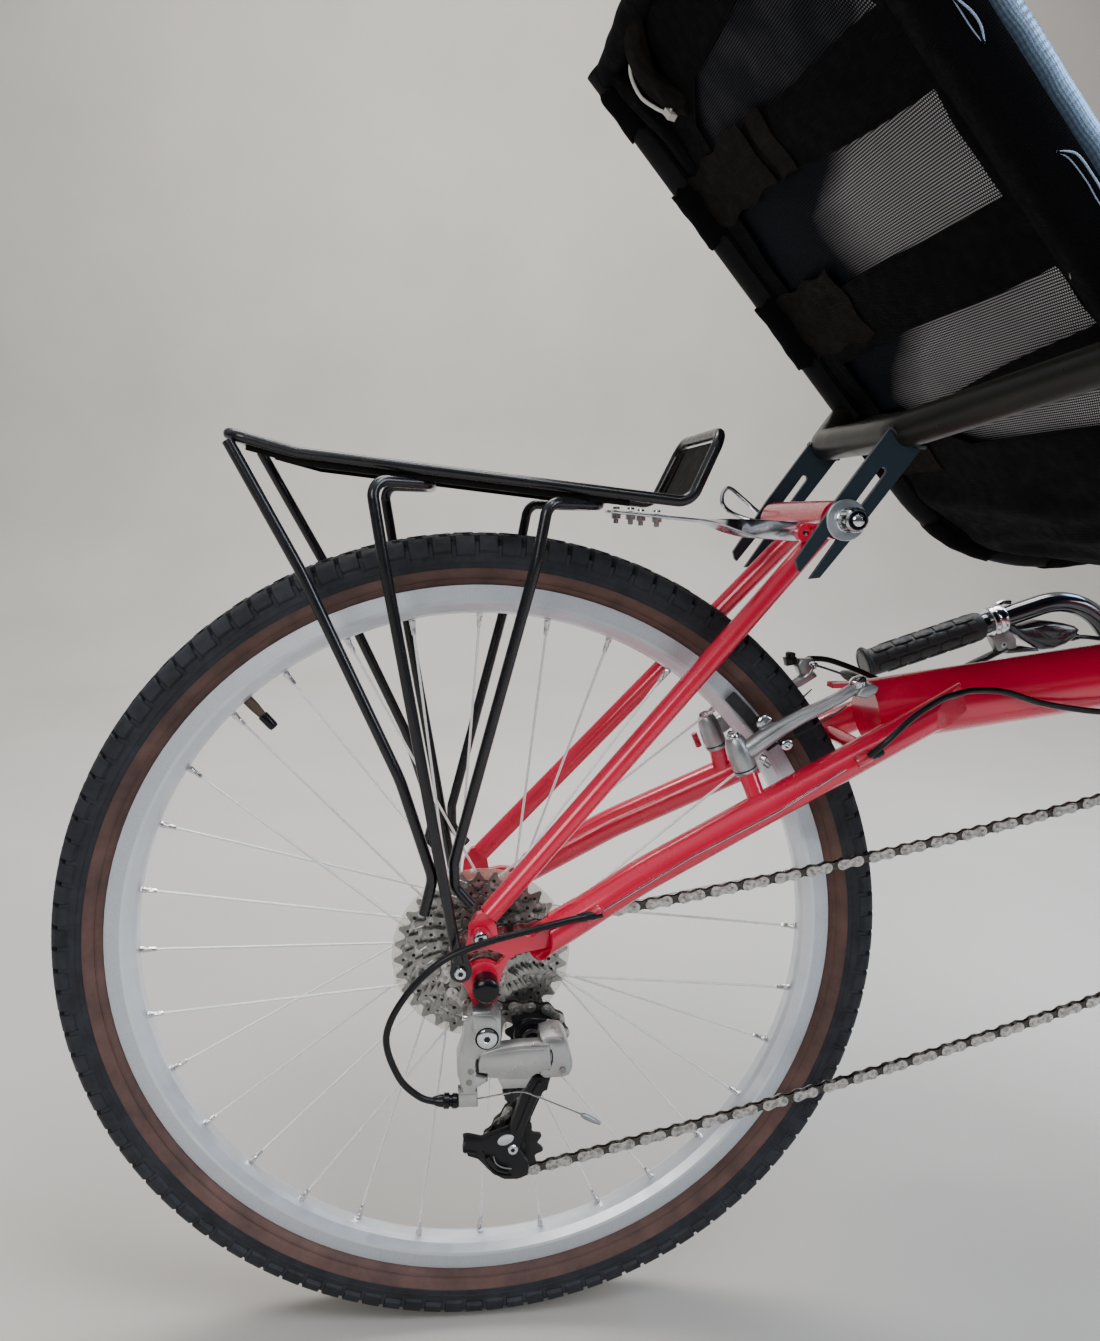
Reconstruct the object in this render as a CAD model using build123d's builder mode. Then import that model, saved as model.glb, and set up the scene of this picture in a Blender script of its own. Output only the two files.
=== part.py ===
from build123d import *
import os
from math import sin, cos, tan, radians, degrees, atan2, acos, hypot, pi

os.makedirs("parts", exist_ok=True)

# ---------------------------------------------------------------------------
# Short-wheelbase recumbent bicycle with a mesh seat, a rear rack and
# under-seat steering.
# Working frame: origin at the rear hub centre, +X forward, +Y left, +Z up, mm.
# finish() moves every piece so that the origin lies on the rider's seat.
# ---------------------------------------------------------------------------

# ---- driving sizes --------------------------------------------------------
RIDER = (520.0, 0.0, 326.5)       # top of the seat, becomes the origin
GROUND_Z = -324.7                 # where both tyres touch the ground

REAR_TYRE_R, REAR_TYRE_HALF_W = 324.7, 24.0
REAR_RIM_OUT_R, REAR_RIM_IN_R, RIM_HALF_W = 285.8, 264.0, 12.5
FRONT_TYRE_R, FRONT_TYRE_HALF_W = 199.5, 23.0
FRONT_RIM_OUT_R, FRONT_RIM_IN_R = 158.8, 139.0
WHEELBASE = 1016.0
HEAD_ANGLE, FORK_OFFSET = 70.0, 38.0
REAR_C = (0.0, 0.0, 0.0)
FRONT_C = (WHEELBASE, 0.0, GROUND_Z + FRONT_TYRE_R)

MAIN_OD, MAIN_WALL = 53.0, 2.0
MAIN_REAR_X, MAIN_FRONT_X = 309.0, 1040.0
BOOM_OD, BOOM_REAR_X = 48.9, 930.0
BB_X, CRANK_LEN = 1250.0, 170.0
CHAIN_STAY_OD, SEAT_STAY_OD = 25.4, 15.9
DROP_Y, DROP_T = -70.5, 6.0
AXLE_R, RUN = 5.0, 0.06           # axle radius and running clearance

SEAT_TUBE_OD, SEAT_Y, SEAT_BEND_R = 30.0, 208.0, 190.0
SEAT_TOP, SEAT_CORNER, SEAT_FRONT = (104.0, 742.0), (497.0, 303.0), (768.0, 342.0)
HOOP_OD, BAR_OD, GRIP_Y = 26.0, 22.2, 240.0
RACK_ROD, RACK_Y = 8.0, 62.0
ARM_LEN = 45.0                    # both steering arms


def main_z(x):
    return 209.2 + 0.158 * (x - 440.0)


def main_pt(x):
    return Vector(x, 0, main_z(x))


MAIN_DIR = Vector(1, 0, 0.158).normalized()
BB = (BB_X, 0.0, main_z(BB_X))
U = Vector(-cos(radians(HEAD_ANGLE)), 0, sin(radians(HEAD_ANGLE)))   # up the steerer
N = Vector(sin(radians(HEAD_ANGLE)), 0, cos(radians(HEAD_ANGLE)))    # forward, square to it
FORK_P = Vector(*FRONT_C) - N * FORK_OFFSET
BAR_P = main_pt(650.0)


def fork_at(t, n=0.0, y=0.0):
    return FORK_P + U * t + N * n + Vector(0, y, 0)


def bar_at(t, n=0.0, y=0.0):
    return BAR_P + U * t + N * n + Vector(0, y, 0)


# ---- helper shapes --------------------------------------------------------
# Each adds its shape to the open part block, or cuts it with mode=Mode.SUBTRACT.
def path_of(pts, radius):
    """Straight runs joined by tangent arcs."""
    with BuildLine() as path:
        if len(pts) == 2:
            Line(pts[0], pts[1])
        else:
            FilletPolyline(*pts, radius=radius)
    return path.line


def rod(pts, radius, od, wall=0.0, mode=Mode.ADD):
    """Round bar or tube along straight runs joined by tangent arcs."""
    path = path_of(pts, radius)
    with BuildSketch(Plane(origin=path @ 0, z_dir=path % 0)) as section:
        Circle(od / 2)
        if wall > 0:
            Circle(od / 2 - wall, mode=Mode.SUBTRACT)
    return sweep(section.sketch, path=path, mode=mode)


def strip(pts, radius, width, thick, mode=Mode.ADD):
    """Flat strip, its width along Y where the path starts in the XZ plane."""
    path = path_of(pts, radius)
    with BuildSketch(Plane(origin=path @ 0, x_dir=(0, 1, 0), z_dir=path % 0)) as section:
        Rectangle(width, thick)
    return sweep(section.sketch, path=path, mode=mode)


def cyl(p, direction, r, h, r_in=0.0, mode=Mode.ADD):
    """Cylinder or ring from point p along a direction."""
    with BuildSketch(Plane(origin=p, z_dir=direction)) as section:
        Circle(r)
        if r_in > 0:
            Circle(r_in, mode=Mode.SUBTRACT)
    return extrude(section.sketch, amount=h, mode=mode)


def ycyl(x, z, y0, y1, r, r_in=0.0, mode=Mode.ADD):
    """Cylinder or ring along Y between two y values."""
    return cyl((x, min(y0, y1), z), (0, 1, 0), r, abs(y1 - y0), r_in, mode)


def slab(pts, y0, y1, mode=Mode.ADD):
    """Flat plate between two y values, its outline given as (x, z)."""
    with BuildSketch(Plane(origin=(0, max(y0, y1), 0), x_dir=(1, 0, 0), z_dir=(0, -1, 0))) as section:
        with BuildLine():
            Polyline(*pts, close=True)
        make_face()
    return extrude(section.sketch, amount=abs(y1 - y0), mode=mode)


def prism(pts, z0, z1, mode=Mode.ADD):
    """Upright prism, its outline given as (x, y)."""
    with BuildSketch(Plane.XY.offset(z0)) as section:
        with BuildLine():
            Polyline(*pts, close=True)
        make_face()
    return extrude(section.sketch, amount=z1 - z0, mode=mode)


def link(p0, p1, r0, r1, y0, y1):
    """Tapered arm in the XZ plane with round ends, between two y values."""
    a = atan2(p1[1] - p0[1], p1[0] - p0[0])
    s, c = sin(a), cos(a)
    slab([(p0[0] - s * r0, p0[1] + c * r0), (p0[0] + s * r0, p0[1] - c * r0),
          (p1[0] + s * r1, p1[1] - c * r1), (p1[0] - s * r1, p1[1] + c * r1)], y0, y1)
    ycyl(p0[0], p0[1], y0, y1, r0)
    ycyl(p1[0], p1[1], y0, y1, r1)


def side_arm(origin, r0, r1, length, thick, hole, mode=Mode.ADD):
    """Plate square to the steering axis, from the axis out to +Y."""
    with BuildSketch(Plane(origin=origin, x_dir=N, z_dir=U)) as section:
        Circle(r0)
        with Locations((0, length)):
            Circle(r1)
        with BuildLine():
            Polyline((-r0, 0), (r0, 0), (r1, length), (-r1, length), close=True)
        make_face()
        with Locations((0, length)):
            Circle(hole, mode=Mode.SUBTRACT)
    return extrude(section.sketch, amount=thick, mode=mode)


def ring(center, profile, mode=Mode.ADD):
    """Revolve an (r, y) outline about the wheel axis through center."""
    with BuildSketch(Plane(origin=center, x_dir=(1, 0, 0), z_dir=(0, 0, 1))) as section:
        with BuildLine():
            Polyline(*profile, close=True)
        make_face()
    return revolve(section.sketch, axis=Axis(center, (0, 1, 0)), mode=mode)


def mirrored(shape):
    return mirror(shape, about=Plane.XZ)


def both(shape):
    return shape + mirrored(shape)


def biggest(shape):
    return shape.solids().sort_by(SortBy.VOLUME)[-1]


def cut(shape, *tools):
    """Largest solid of a shape once each tool is taken away."""
    with BuildPart() as b:
        add(shape)
        for tool in tools:
            add(tool, mode=Mode.SUBTRACT)
    return biggest(b.part)


def finish(part, name):
    """Move one finished piece to the rider origin, label it and write its STEP file."""
    moved = part.moved(Location((-RIDER[0], -RIDER[1], -RIDER[2])))
    moved.label = name
    export_step(moved, "parts/" + name + ".step")
    print(name, len(moved.solids()), round(sum(s.volume for s in moved.solids())))


def polar(c, r, deg):
    return (c[0] + r * cos(radians(deg)), c[1] + r * sin(radians(deg)))


# ---------------------------------------------------------------------------
# Outlines and solid envelopes used to notch one piece against another
# ---------------------------------------------------------------------------
main_env = cyl(main_pt(200), MAIN_DIR, MAIN_OD / 2, 1300)
head_env = cyl(fork_at(262), U, 18.0, 212)
shell_env = ycyl(BB[0], BB[2], -34, 34, 20.0)

CS_PATH = [(27.2, -74.6, 22.4), (114.7, -63.7, 75.5), (375.0, -31.0, 207.0)]
CS_DIR = Vector(70.6, 8.8, 42.8).normalized()
SS_LOW, SS_TOP = Vector(3, -67, 49.5), Vector(252, -27, 333)
CROSS = (247.0, 341.0)
chain_stay_env = rod(CS_PATH, 300, CHAIN_STAY_OD)
seat_stay_env = rod([SS_LOW, SS_TOP], 0, SEAT_STAY_OD)
cross_env = ycyl(CROSS[0], CROSS[1], -66, 66, 14.0)

# right dropout with the hanger for the rear derailleur; (x, z)
DROP_RIGHT = [(-8, -17), (-9, -32), (-6, -41), (2, -45), (10, -41), (13, -32), (9, -18), (10, -8), (13, 5),
              (17, 16), (24, 21), (40, 24.5), (55, 27.3), (78, 41.2), (65.8, 61.6), (46, 50), (40, 38),
              (35, 34), (20, 35), (10, 33), (8, 44), (2, 54), (-6, 52), (-12, 42), (-13, 30), (-16, 19),
              (-23, 14), (-24, 7), (-19, 3), (-13, -4)]
DROP_LEFT = DROP_RIGHT[7:] + [(-9, -14), (0, -18), (9, -15)]
EYELET_TOP, EYELET_REAR, EYELET_R = (-4.2, 31.7), (-17.0, 9.9), 2.5
BOLT_R = 9.2
window = [polar((0, 0), 25, a) for a in range(52, 128, 15)] + [polar((0, 0), 15.5, a) for a in range(127, 51, -15)]


def dropout(outline):
    with BuildPart() as plate:
        slab(outline, DROP_Y - DROP_T / 2, DROP_Y + DROP_T / 2)
        slab(window, DROP_Y - 9, DROP_Y + 9, mode=Mode.SUBTRACT)
        ycyl(0, 0, DROP_Y - 9, DROP_Y + 9, AXLE_R, mode=Mode.SUBTRACT)
        for x, z in (EYELET_TOP, EYELET_REAR):
            ycyl(x, z, DROP_Y - 9, DROP_Y + 9, EYELET_R, mode=Mode.SUBTRACT)
    return biggest(plate.part)


drop_right = dropout(DROP_RIGHT)
drop_plain = dropout(DROP_LEFT)          # the left one, still on the right side
drop_left = mirrored(drop_plain)

# ---------------------------------------------------------------------------
# Frame
# ---------------------------------------------------------------------------
with BuildPart() as main_tube:
    cyl(main_pt(MAIN_REAR_X), MAIN_DIR, MAIN_OD / 2, (MAIN_FRONT_X - MAIN_REAR_X) / MAIN_DIR.X)
    cyl(main_pt(MAIN_REAR_X + 3), MAIN_DIR, MAIN_OD / 2 - MAIN_WALL, 800, mode=Mode.SUBTRACT)
    slab([(277, 208.5), (277, 212.5), (308, 213.4), (308, 209.4)], -6, 6)
    add(head_env, mode=Mode.SUBTRACT)
finish(biggest(main_tube.part), "main_tube")


def chain_stay(drop):
    with BuildPart() as stay:
        add(chain_stay_env)
        cyl(Vector(*CS_PATH[0]) - CS_DIR * 2, CS_DIR, CHAIN_STAY_OD / 2 - 1.2, 82, mode=Mode.SUBTRACT)
        prism([(52, -90), (30, -58), (0, -50), (0, -110), (52, -110)], -20, 75, mode=Mode.SUBTRACT)
        prism([(345, -46), (385, -24), (430, -24), (430, -90), (345, -90)], 100, 300, mode=Mode.SUBTRACT)
        add(main_env, mode=Mode.SUBTRACT)
        add(drop, mode=Mode.SUBTRACT)
    return biggest(stay.part)


POST_LOW, CUP = Vector(208.5, -50, 123), Vector(198.6, -42, 150.5)
post = biggest(rod([POST_LOW, CUP], 0, 14) - chain_stay_env)
stops = cyl((72.5, -81.0, 51.0), (0.86, 0.1, 0.5), 4.0, 12) + cyl((279.0, -56.0, 161.0), (0.87, 0.0, 0.48), 4.0, 12)
bridge = ycyl(293, 165.5, -44, 44, 6.0) - chain_stay_env - mirrored(chain_stay_env)
chain_stays_piece_1 = chain_stay(drop_right)
chain_stays_piece_2 = mirrored(chain_stay(drop_plain))
with BuildPart() as chain_stays:
    add(chain_stays_piece_1)
    add(chain_stays_piece_2)
    add(stops)
finish(chain_stays.part, "chain_stays")

with BuildPart() as brake_posts:
    add(both(post))
finish(brake_posts.part, "brake_posts")

with BuildPart() as stay_bridge:
    add(sorted(bridge.solids(), key=lambda s: abs(s.center().Y))[0])
finish(stay_bridge.part, "stay_bridge")

stay_r = biggest(seat_stay_env - cross_env - drop_right)
stay_l = mirrored(biggest(seat_stay_env - cross_env - drop_plain))
with BuildPart() as seat_stays:
    add(stay_r)
    add(stay_l)
finish(seat_stays.part, "seat_stays")

with BuildPart() as dropouts:
    add(drop_right)
    add(drop_left)
finish(dropouts.part, "dropouts")

tab = ycyl(233, 331, -40, -32, 6.5) - seat_stay_env
with BuildPart() as seat_cross_tube:
    add(cross_env)
    add(both(biggest(tab)))
    ycyl(CROSS[0], CROSS[1], -70, 70, 2.8, mode=Mode.SUBTRACT)
    ycyl(233, 331, -45, 45, 2.5, mode=Mode.SUBTRACT)
finish(seat_cross_tube.part, "seat_cross_tube")

with BuildPart() as head_tube:
    add(head_env)
    cyl(fork_at(250), U, 15.0, 240, mode=Mode.SUBTRACT)
finish(head_tube.part, "head_tube")

with BuildPart() as headset_cups:
    cyl(fork_at(250), U, 20.0, 12, r_in=12.7 + RUN)
    cyl(fork_at(474), U, 20.0, 12, r_in=12.7 + RUN)
finish(headset_cups.part, "headset_cups")

with BuildPart() as boom:
    cyl(main_pt(BOOM_REAR_X), MAIN_DIR, BOOM_OD / 2, (BB_X - BOOM_REAR_X) / MAIN_DIR.X)
    cyl(main_pt(BOOM_REAR_X - 10), MAIN_DIR, BOOM_OD / 2 - 2, 420, mode=Mode.SUBTRACT)
    add(shell_env, mode=Mode.SUBTRACT)
finish(biggest(boom.part), "boom")

with BuildPart() as bottom_bracket_shell:
    add(shell_env)
    ycyl(BB[0], BB[2], -40, 40, 14.0, mode=Mode.SUBTRACT)
    ycyl(BB[0], BB[2], -36, -22, 14.0)
    ycyl(BB[0], BB[2], 22, 36, 14.0)
    ycyl(BB[0], BB[2], -45, 45, 8.5 + RUN, mode=Mode.SUBTRACT)
finish(bottom_bracket_shell.part, "bottom_bracket_shell")

with BuildPart() as boom_clamp:
    cyl(main_pt(MAIN_FRONT_X - 30), MAIN_DIR, 31.0, 26, r_in=MAIN_OD / 2)
    slab([(1012, 262), (1036, 266), (1036, 284), (1012, 280)], -9, 9)
    add(main_env, mode=Mode.SUBTRACT)
finish(boom_clamp.part, "boom_clamp")

with BuildPart() as bar_pivot_housing:
    cyl(bar_at(-78), U, 17.0, 78)
    cyl(bar_at(-90), U, 8.0 + RUN, 57, mode=Mode.SUBTRACT)
    add(main_env, mode=Mode.SUBTRACT)
finish(biggest(bar_pivot_housing.part), "bar_pivot_housing")

# ---------------------------------------------------------------------------
# Seat: two bent side tubes, two cross bars, a hoop with clamp plates, a sling
# ---------------------------------------------------------------------------
def seat_path(y):
    return [(x, y, z) for x, z in (SEAT_TOP, SEAT_CORNER, SEAT_FRONT)]


side_env = rod(seat_path(-SEAT_Y), SEAT_BEND_R, SEAT_TUBE_OD)
HOOP_PATH = [(354, -205, 438), (287, -70, 404), (287, 70, 404), (354, 205, 438)]
hoop_env = rod(HOOP_PATH, 34, HOOP_OD)
front_bar_env = ycyl(755, 340, -200, 200, 11.0)

with BuildPart() as seat_side_tubes:
    rod(seat_path(-SEAT_Y), SEAT_BEND_R, SEAT_TUBE_OD, 2.0)
    rod(seat_path(SEAT_Y), SEAT_BEND_R, SEAT_TUBE_OD, 2.0)
finish(seat_side_tubes.part, "seat_side_tubes")

top_bar = biggest(ycyl(112, 733, -200, 200, 11.0) - side_env - mirrored(side_env))
front_bar = biggest(front_bar_env - side_env - mirrored(side_env))
with BuildPart() as seat_cross_bars:
    add(top_bar)
    add(front_bar)
finish(seat_cross_bars.part, "seat_cross_bars")

with BuildPart() as seat_hoop:
    add(hoop_env)
    add(side_env, mode=Mode.SUBTRACT)
    add(mirrored(side_env), mode=Mode.SUBTRACT)
finish(biggest(seat_hoop.part), "seat_hoop")

PLATE_Y0, PLATE_Y1 = -77.0, -73.0
plate = slab([(275.2, 406), (300.5, 394.6), (250.9, 325.8), (231.3, 300.2), (222.9, 299.1), (214.9, 306.1),
              (213.1, 312.3), (240.1, 355.7)], PLATE_Y0, PLATE_Y1)
plate -= slab([(273.9, 374.1), (249.9, 339.0), (214.0, 284.0), (206.0, 290.0), (245.1, 341.8), (269.1, 376.9)],
              PLATE_Y0 - 5, PLATE_Y1 + 5)
plate -= ycyl(271.5, 375.5, PLATE_Y0 - 5, PLATE_Y1 + 5, 2.78)
plate -= hoop_env
with BuildPart() as seat_plates:
    add(both(biggest(plate)))
finish(seat_plates.part, "seat_plates")

with BuildPart() as seat_skewer:
    ycyl(CROSS[0], CROSS[1], -100, 86, 2.5)
    ycyl(CROSS[0], CROSS[1], -73, -66, 10.0)
    ycyl(CROSS[0], CROSS[1], 66, 73, 10.0)
    ycyl(CROSS[0], CROSS[1], -79.5, -77, 14.6)
    ycyl(CROSS[0], CROSS[1], -98, -79.5, 8.5)
    ycyl(CROSS[0], CROSS[1], 77, 88, 10.0)
    rod([(247, 88, 341), (238, 94, 350), (205, 104, 366)], 8, 9)
finish(seat_skewer.part, "seat_skewer")

with BuildPart() as seat_clamp:
    cyl(main_pt(735), MAIN_DIR, 32.0, 30)
    slab([(740, 270), (764, 274), (767, 340), (743, 340)], -10, 10)
    add(main_env, mode=Mode.SUBTRACT)
    add(front_bar_env, mode=Mode.SUBTRACT)
finish(biggest(seat_clamp.part), "seat_clamp")

S_DIR = Vector(SEAT_CORNER[0] - SEAT_TOP[0], 0, SEAT_CORNER[1] - SEAT_TOP[1]).normalized()
F_DIR = Vector(SEAT_FRONT[0] - SEAT_CORNER[0], 0, SEAT_FRONT[1] - SEAT_CORNER[1]).normalized()


def sling_path(y):
    a = Vector(SEAT_TOP[0], y, SEAT_TOP[1]) + S_DIR * 26
    b = Vector(SEAT_FRONT[0], y, SEAT_FRONT[1]) - F_DIR * 28
    return [a, Vector(SEAT_CORNER[0], y, SEAT_CORNER[1]), b]


sleeve_right = rod(sling_path(-SEAT_Y), SEAT_BEND_R, SEAT_TUBE_OD + 4, 1.9)
with BuildPart() as seat_sling:
    strip(sling_path(0), SEAT_BEND_R, 2 * (SEAT_Y - 15.6), 6)
    add(sleeve_right)
    add(mirrored(sleeve_right))
    add(hoop_env, mode=Mode.SUBTRACT)
finish(biggest(seat_sling.part), "seat_sling")

# ---------------------------------------------------------------------------
# Rear rack
# ---------------------------------------------------------------------------
rail_half = rod([(-177, 0, 386), (-177, -RACK_Y, 386), (-130, -RACK_Y, 374.5), (139, -RACK_Y, 350),
                 (161, -57, 399.5), (161, 0, 399.5)], [12, 30, 14, 14], RACK_ROD)
rails_env = both(rail_half)
with BuildPart() as rack_rails:
    add(rails_env)
finish(rack_rails.part, "rack_rails")

with BuildPart() as deck:
    slab([(-165, 380), (-130, 371.5), (96, 350.9), (96, 346.2), (-130, 366.8), (-165, 375.3)], -60, 60)
    slab([(-170, 379.2), (-130, 369.5), (100, 348.5), (100, 335), (-170, 360)], -57.5, 57.5, mode=Mode.SUBTRACT)
    for x0, x1 in ((-145, -75), (-60, 10), (25, 85)):
        for y in (-36, -12, 12, 36):
            prism([(x0, y - 5), (x1, y - 5), (x1, y + 5), (x0, y + 5)], 330, 400, mode=Mode.SUBTRACT)
with BuildPart() as hoop_plate:
    slab([(142.0, 354.0), (144.2, 353.2), (162.0, 393.2), (159.8, 394.0)], -60, 60)
    for y0, y1 in ((-61, -49), (49, 61)):                 # clear of the loop's upper bends
        slab([(140, 371.0), (175, 371.0), (175, 402), (140, 402)], y0, y1, mode=Mode.SUBTRACT)
    for y in (-41, 41):
        prism([(140, y - 3.5), (170, y - 3.5), (170, y + 3.5), (140, y + 3.5)], 359, 390, mode=Mode.SUBTRACT)

LEG_A = [(-176, -62, 381), (-129, -66, 296), (-61.5, -72.5, 152), (-38, -73.4, 80), (-44, -73.8, 53)]
LEG_B = [(-43, 0, 357.4), (-43, -52, 357.4), (-82, -76, 358), (-73, -78, 305), (-33.5, -77.6, 94), (-18.5, -77.6, 14)]
LEG_C = [(76, 0, 346.6), (76, -52, 346.6), (37, -76, 347), (30, -78, 306), (-23, -69, 90), (-22.5, -68.5, 72),
         (-10, -68.5, 57)]
leg_a = cut(rod(LEG_A, [120, 120, 22], RACK_ROD), rails_env)
with BuildPart() as leg_b:
    rod(LEG_B, [13, 11, 60, 60], RACK_ROD)
    slab([(-40, -10), (0, -10), (0, 18), (-40, 18)], -74, -90, mode=Mode.SUBTRACT)
    ycyl(-17, 9.9, -77.5, -73.5, 8.0)
    slab([(-24, 10), (-10, 10), (-14, 30), (-25, 30)], -77.5, -73.6)
    ycyl(EYELET_REAR[0], EYELET_REAR[1], -95, -60, EYELET_R, mode=Mode.SUBTRACT)
loop_b = cut(both(leg_b.part), rails_env)
loop_c = cut(both(rod(LEG_C, [13, 11, 60, 14, 12], RACK_ROD)), rails_env)
with BuildPart() as rack_legs:
    add(leg_a)
    add(mirrored(leg_a))
    add(loop_b)
    add(loop_c)
finish(rack_legs.part, "rack_legs")

RAIL_RUNS = [((-179, -RACK_Y, 386.5), (-128, -RACK_Y, 374.0)), ((-132, -RACK_Y, 374.7), (141, -RACK_Y, 349.8)),
             ((138, -62.2, 347.7), (162, -56.8, 401.8))]
rail_cuts = [rod(run, 0, RACK_ROD) for run in RAIL_RUNS]
rail_cuts += [mirrored(piece) for piece in rail_cuts]
deck_cut = cut(cut(deck.part, loop_b, loop_c, leg_a, mirrored(leg_a)), *rail_cuts)
hoop_plate_cut = cut(hoop_plate.part, *rail_cuts)
with BuildPart() as rack_plates:
    add(deck_cut)
    add(hoop_plate_cut)
finish(rack_plates.part, "rack_plates")

strut = strip([(92, -14, 342.5), (135, -14, 339.5), (206, -28, 333)], 20, 12, 2.2)
strut += slab([(190, 327), (226, 324.5), (241, 326), (241, 337), (226, 338.5), (190, 341)], -31.9, -29.7)
strut -= ycyl(233, 331, -45, 0, 2.5)
strut = strut - seat_stay_env - cross_env - rod([(76, -60, 346.6), (76, 60, 346.6)], 0, RACK_ROD)
with BuildPart() as rack_struts:
    add(both(biggest(strut)))
finish(rack_struts.part, "rack_struts")

# ---------------------------------------------------------------------------
# Rear brake, derailleur, cables and chain, all fixed to the frame
# ---------------------------------------------------------------------------
CUP_DIR = Vector(186.9 - 198.6, 2, 176.8 - 150.5).normalized()
arm_hub = cyl(CUP, CUP_DIR, 7.5, 29)
arm_bar = slab([(190, 176), (200, 160), (248, 187), (287, 207.5), (296, 211.5), (294, 221), (280, 221), (242, 205)],
               -46, -36)
with BuildPart() as rear_brake_arms:
    add(both(arm_hub + arm_bar - post))
    ycyl(284, 217, -49, -46, 4.5)
    ycyl(213, 186, -50, -46, 5.0)
    ycyl(213, 186, 46, 50, 5.0)
finish(rear_brake_arms.part, "rear_brake_arms")

pad_outline = [polar((0, 0), 283, a) for a in (36, 39.7, 43.3, 47)] + [polar((0, 0), 273.5, a) for a in (47, 43.3, 39.7, 36)]
pad = slab(pad_outline, -22, -14.5) + ycyl(213, 186, -36, -22, 3.2)
with BuildPart() as rear_brake_pads:
    add(both(pad))
finish(rear_brake_pads.part, "rear_brake_pads")

B_KNUCKLE = [(-7.2, -18.5), (6.9, -18.5), (13.3, -25.5), (12.9, -43.3), (8, -50), (0, -60), (-2, -64.9), (3.2, -68.6),
             (-4.6, -76.8), (-4.3, -90.3), (-17, -89.8), (-16.4, -76.4), (-18.2, -59.2), (-16.1, -45.7), (-12.4, -28.9)]
D_LINK = [(-3.6, -47.5), (3.4, -42.7), (41.3, -44.8), (49.4, -48.5), (49.7, -60.5), (41.8, -62), (35.6, -70.3),
          (7.1, -70.1), (2.2, -65.6), (-3.8, -64)]
P_KNUCKLE = [(43.1, -45.5), (51.9, -42.4), (60.1, -46.1), (66.3, -60.2), (66.6, -70.7), (61.1, -76.6), (44, -75.1),
             (40.6, -71.5), (42.5, -50.7)]
TONGUE = [(10, -68), (34, -68), (27, -82), (15, -80.6)]
with BuildPart() as rear_derailleur:
    slab(B_KNUCKLE, -90.5, -73.5)
    slab(D_LINK, -92, -80)
    slab(P_KNUCKLE, -88, -63)
    slab(TONGUE, -88, -80)
    ycyl(22.9, -84.6, -89, -79, 4.6)
    ycyl(2.3, -34.9, -93.0, -90.5, BOLT_R)
    cyl((-34, -84, -86.8), (1, 0, 0), 5.0, 18)
finish(rear_derailleur.part, "rear_derailleur")

GUIDE, TENSION, PULLEY_R, COG_R, CHAIN_Y = (40.5, -53.5), (27.0, -147.0), 22.5, 28.54, -53.3
CAGE = [(44, -47), (36, -47), (30, -55), (36, -72), (32.7, -94.7), (29.5, -108.9), (24.5, -122.1), (14.1, -128.3),
        (1.9, -133.5), (-12.5, -131.7), (-13.2, -142.4), (-10.2, -142.6), (-9.2, -146.9), (-1.3, -149.8), (3.2, -154.8),
        (10.4, -163), (19.4, -167.8), (29.2, -168.3), (37.1, -165.3), (37.9, -161.5), (34.1, -152.5), (33.5, -142.6),
        (33.5, -131), (36.1, -123.5), (43.5, -104.7), (47.6, -94.8), (50.3, -94.7), (51, -91.6), (54, -78), (52, -55)]
with BuildPart() as derailleur_cage:
    slab(CAGE, -63, -61)
    link(GUIDE, TENSION, 9, 11, -47, -45)
    ycyl(GUIDE[0], GUIDE[1], -61, -47, 3.0)
    ycyl(TENSION[0], TENSION[1], -64, -47, 3.0)
finish(derailleur_cage.part, "derailleur_cage")

with BuildPart() as jockey_wheels:
    for c in (GUIDE, TENSION):
        ycyl(c[0], c[1], CHAIN_Y - 2, CHAIN_Y + 2, 18.2, r_in=3.0 + RUN)
        ycyl(c[0], c[1], CHAIN_Y - 5, CHAIN_Y + 4, 7.0, r_in=3.0 + RUN)
finish(jockey_wheels.part, "jockey_wheels")


def arc_at(c, r, a0, a1, y):
    """Three points of an arc about (x, z) centre c at a fixed y."""
    return [(*polar(c, r, a)[:1], y, *polar(c, r, a)[1:]) for a in (a0, (a0 + a1) / 2, a1)]


def chain_piece(runs):
    """Chain ribbon along arcs (3 points) and lines (2 points) in order."""
    with BuildLine() as path:
        for run in runs:
            if len(run) == 3:
                ThreePointArc(*run)
            else:
                Line(*run)
    with BuildSketch(Plane(origin=path.line @ 0, x_dir=(0, 1, 0), z_dir=path.line % 0)) as section:
        Rectangle(5.6, 7.6)
    return sweep(section.sketch, path=path.line)


RING_C, RING_R, RING_Y = (BB[0], BB[2]), 64.8, -41.0
TOP_REAR, TOP_FRONT = 98.4, 115.0         # where the upper run leaves cog and ring, degrees
LOW_REAR, LOW_FRONT = -77.5, -62.9        # where the lower run leaves pulley and ring


def run_mid(p, q, a, b):
    """Middle of a sagging run between two points with end slopes a and b."""
    dx, dz = q[0] - p[0], q[2] - p[2]
    length = hypot(dx, dz)
    sag = length / 2 * tan(radians(b - a) / 4)
    return ((p[0] + q[0]) / 2 + dz / length * sag, (p[1] + q[1]) / 2, (p[2] + q[2]) / 2 - dx / length * sag)


def on(c, r, a, y):
    x, z = polar(c, r, a)
    return (x, y, z)


phi1, d1 = degrees(atan2(GUIDE[1], GUIDE[0])), hypot(*GUIDE)
LEAVE_COG = phi1 - degrees(acos((COG_R + PULLEY_R) / d1))
dx2, dz2 = TENSION[0] - GUIDE[0], TENSION[1] - GUIDE[1]
LEAVE_GUIDE = degrees(atan2(dz2, dx2)) + degrees(acos(2 * PULLEY_R / hypot(dx2, dz2)))

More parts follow.
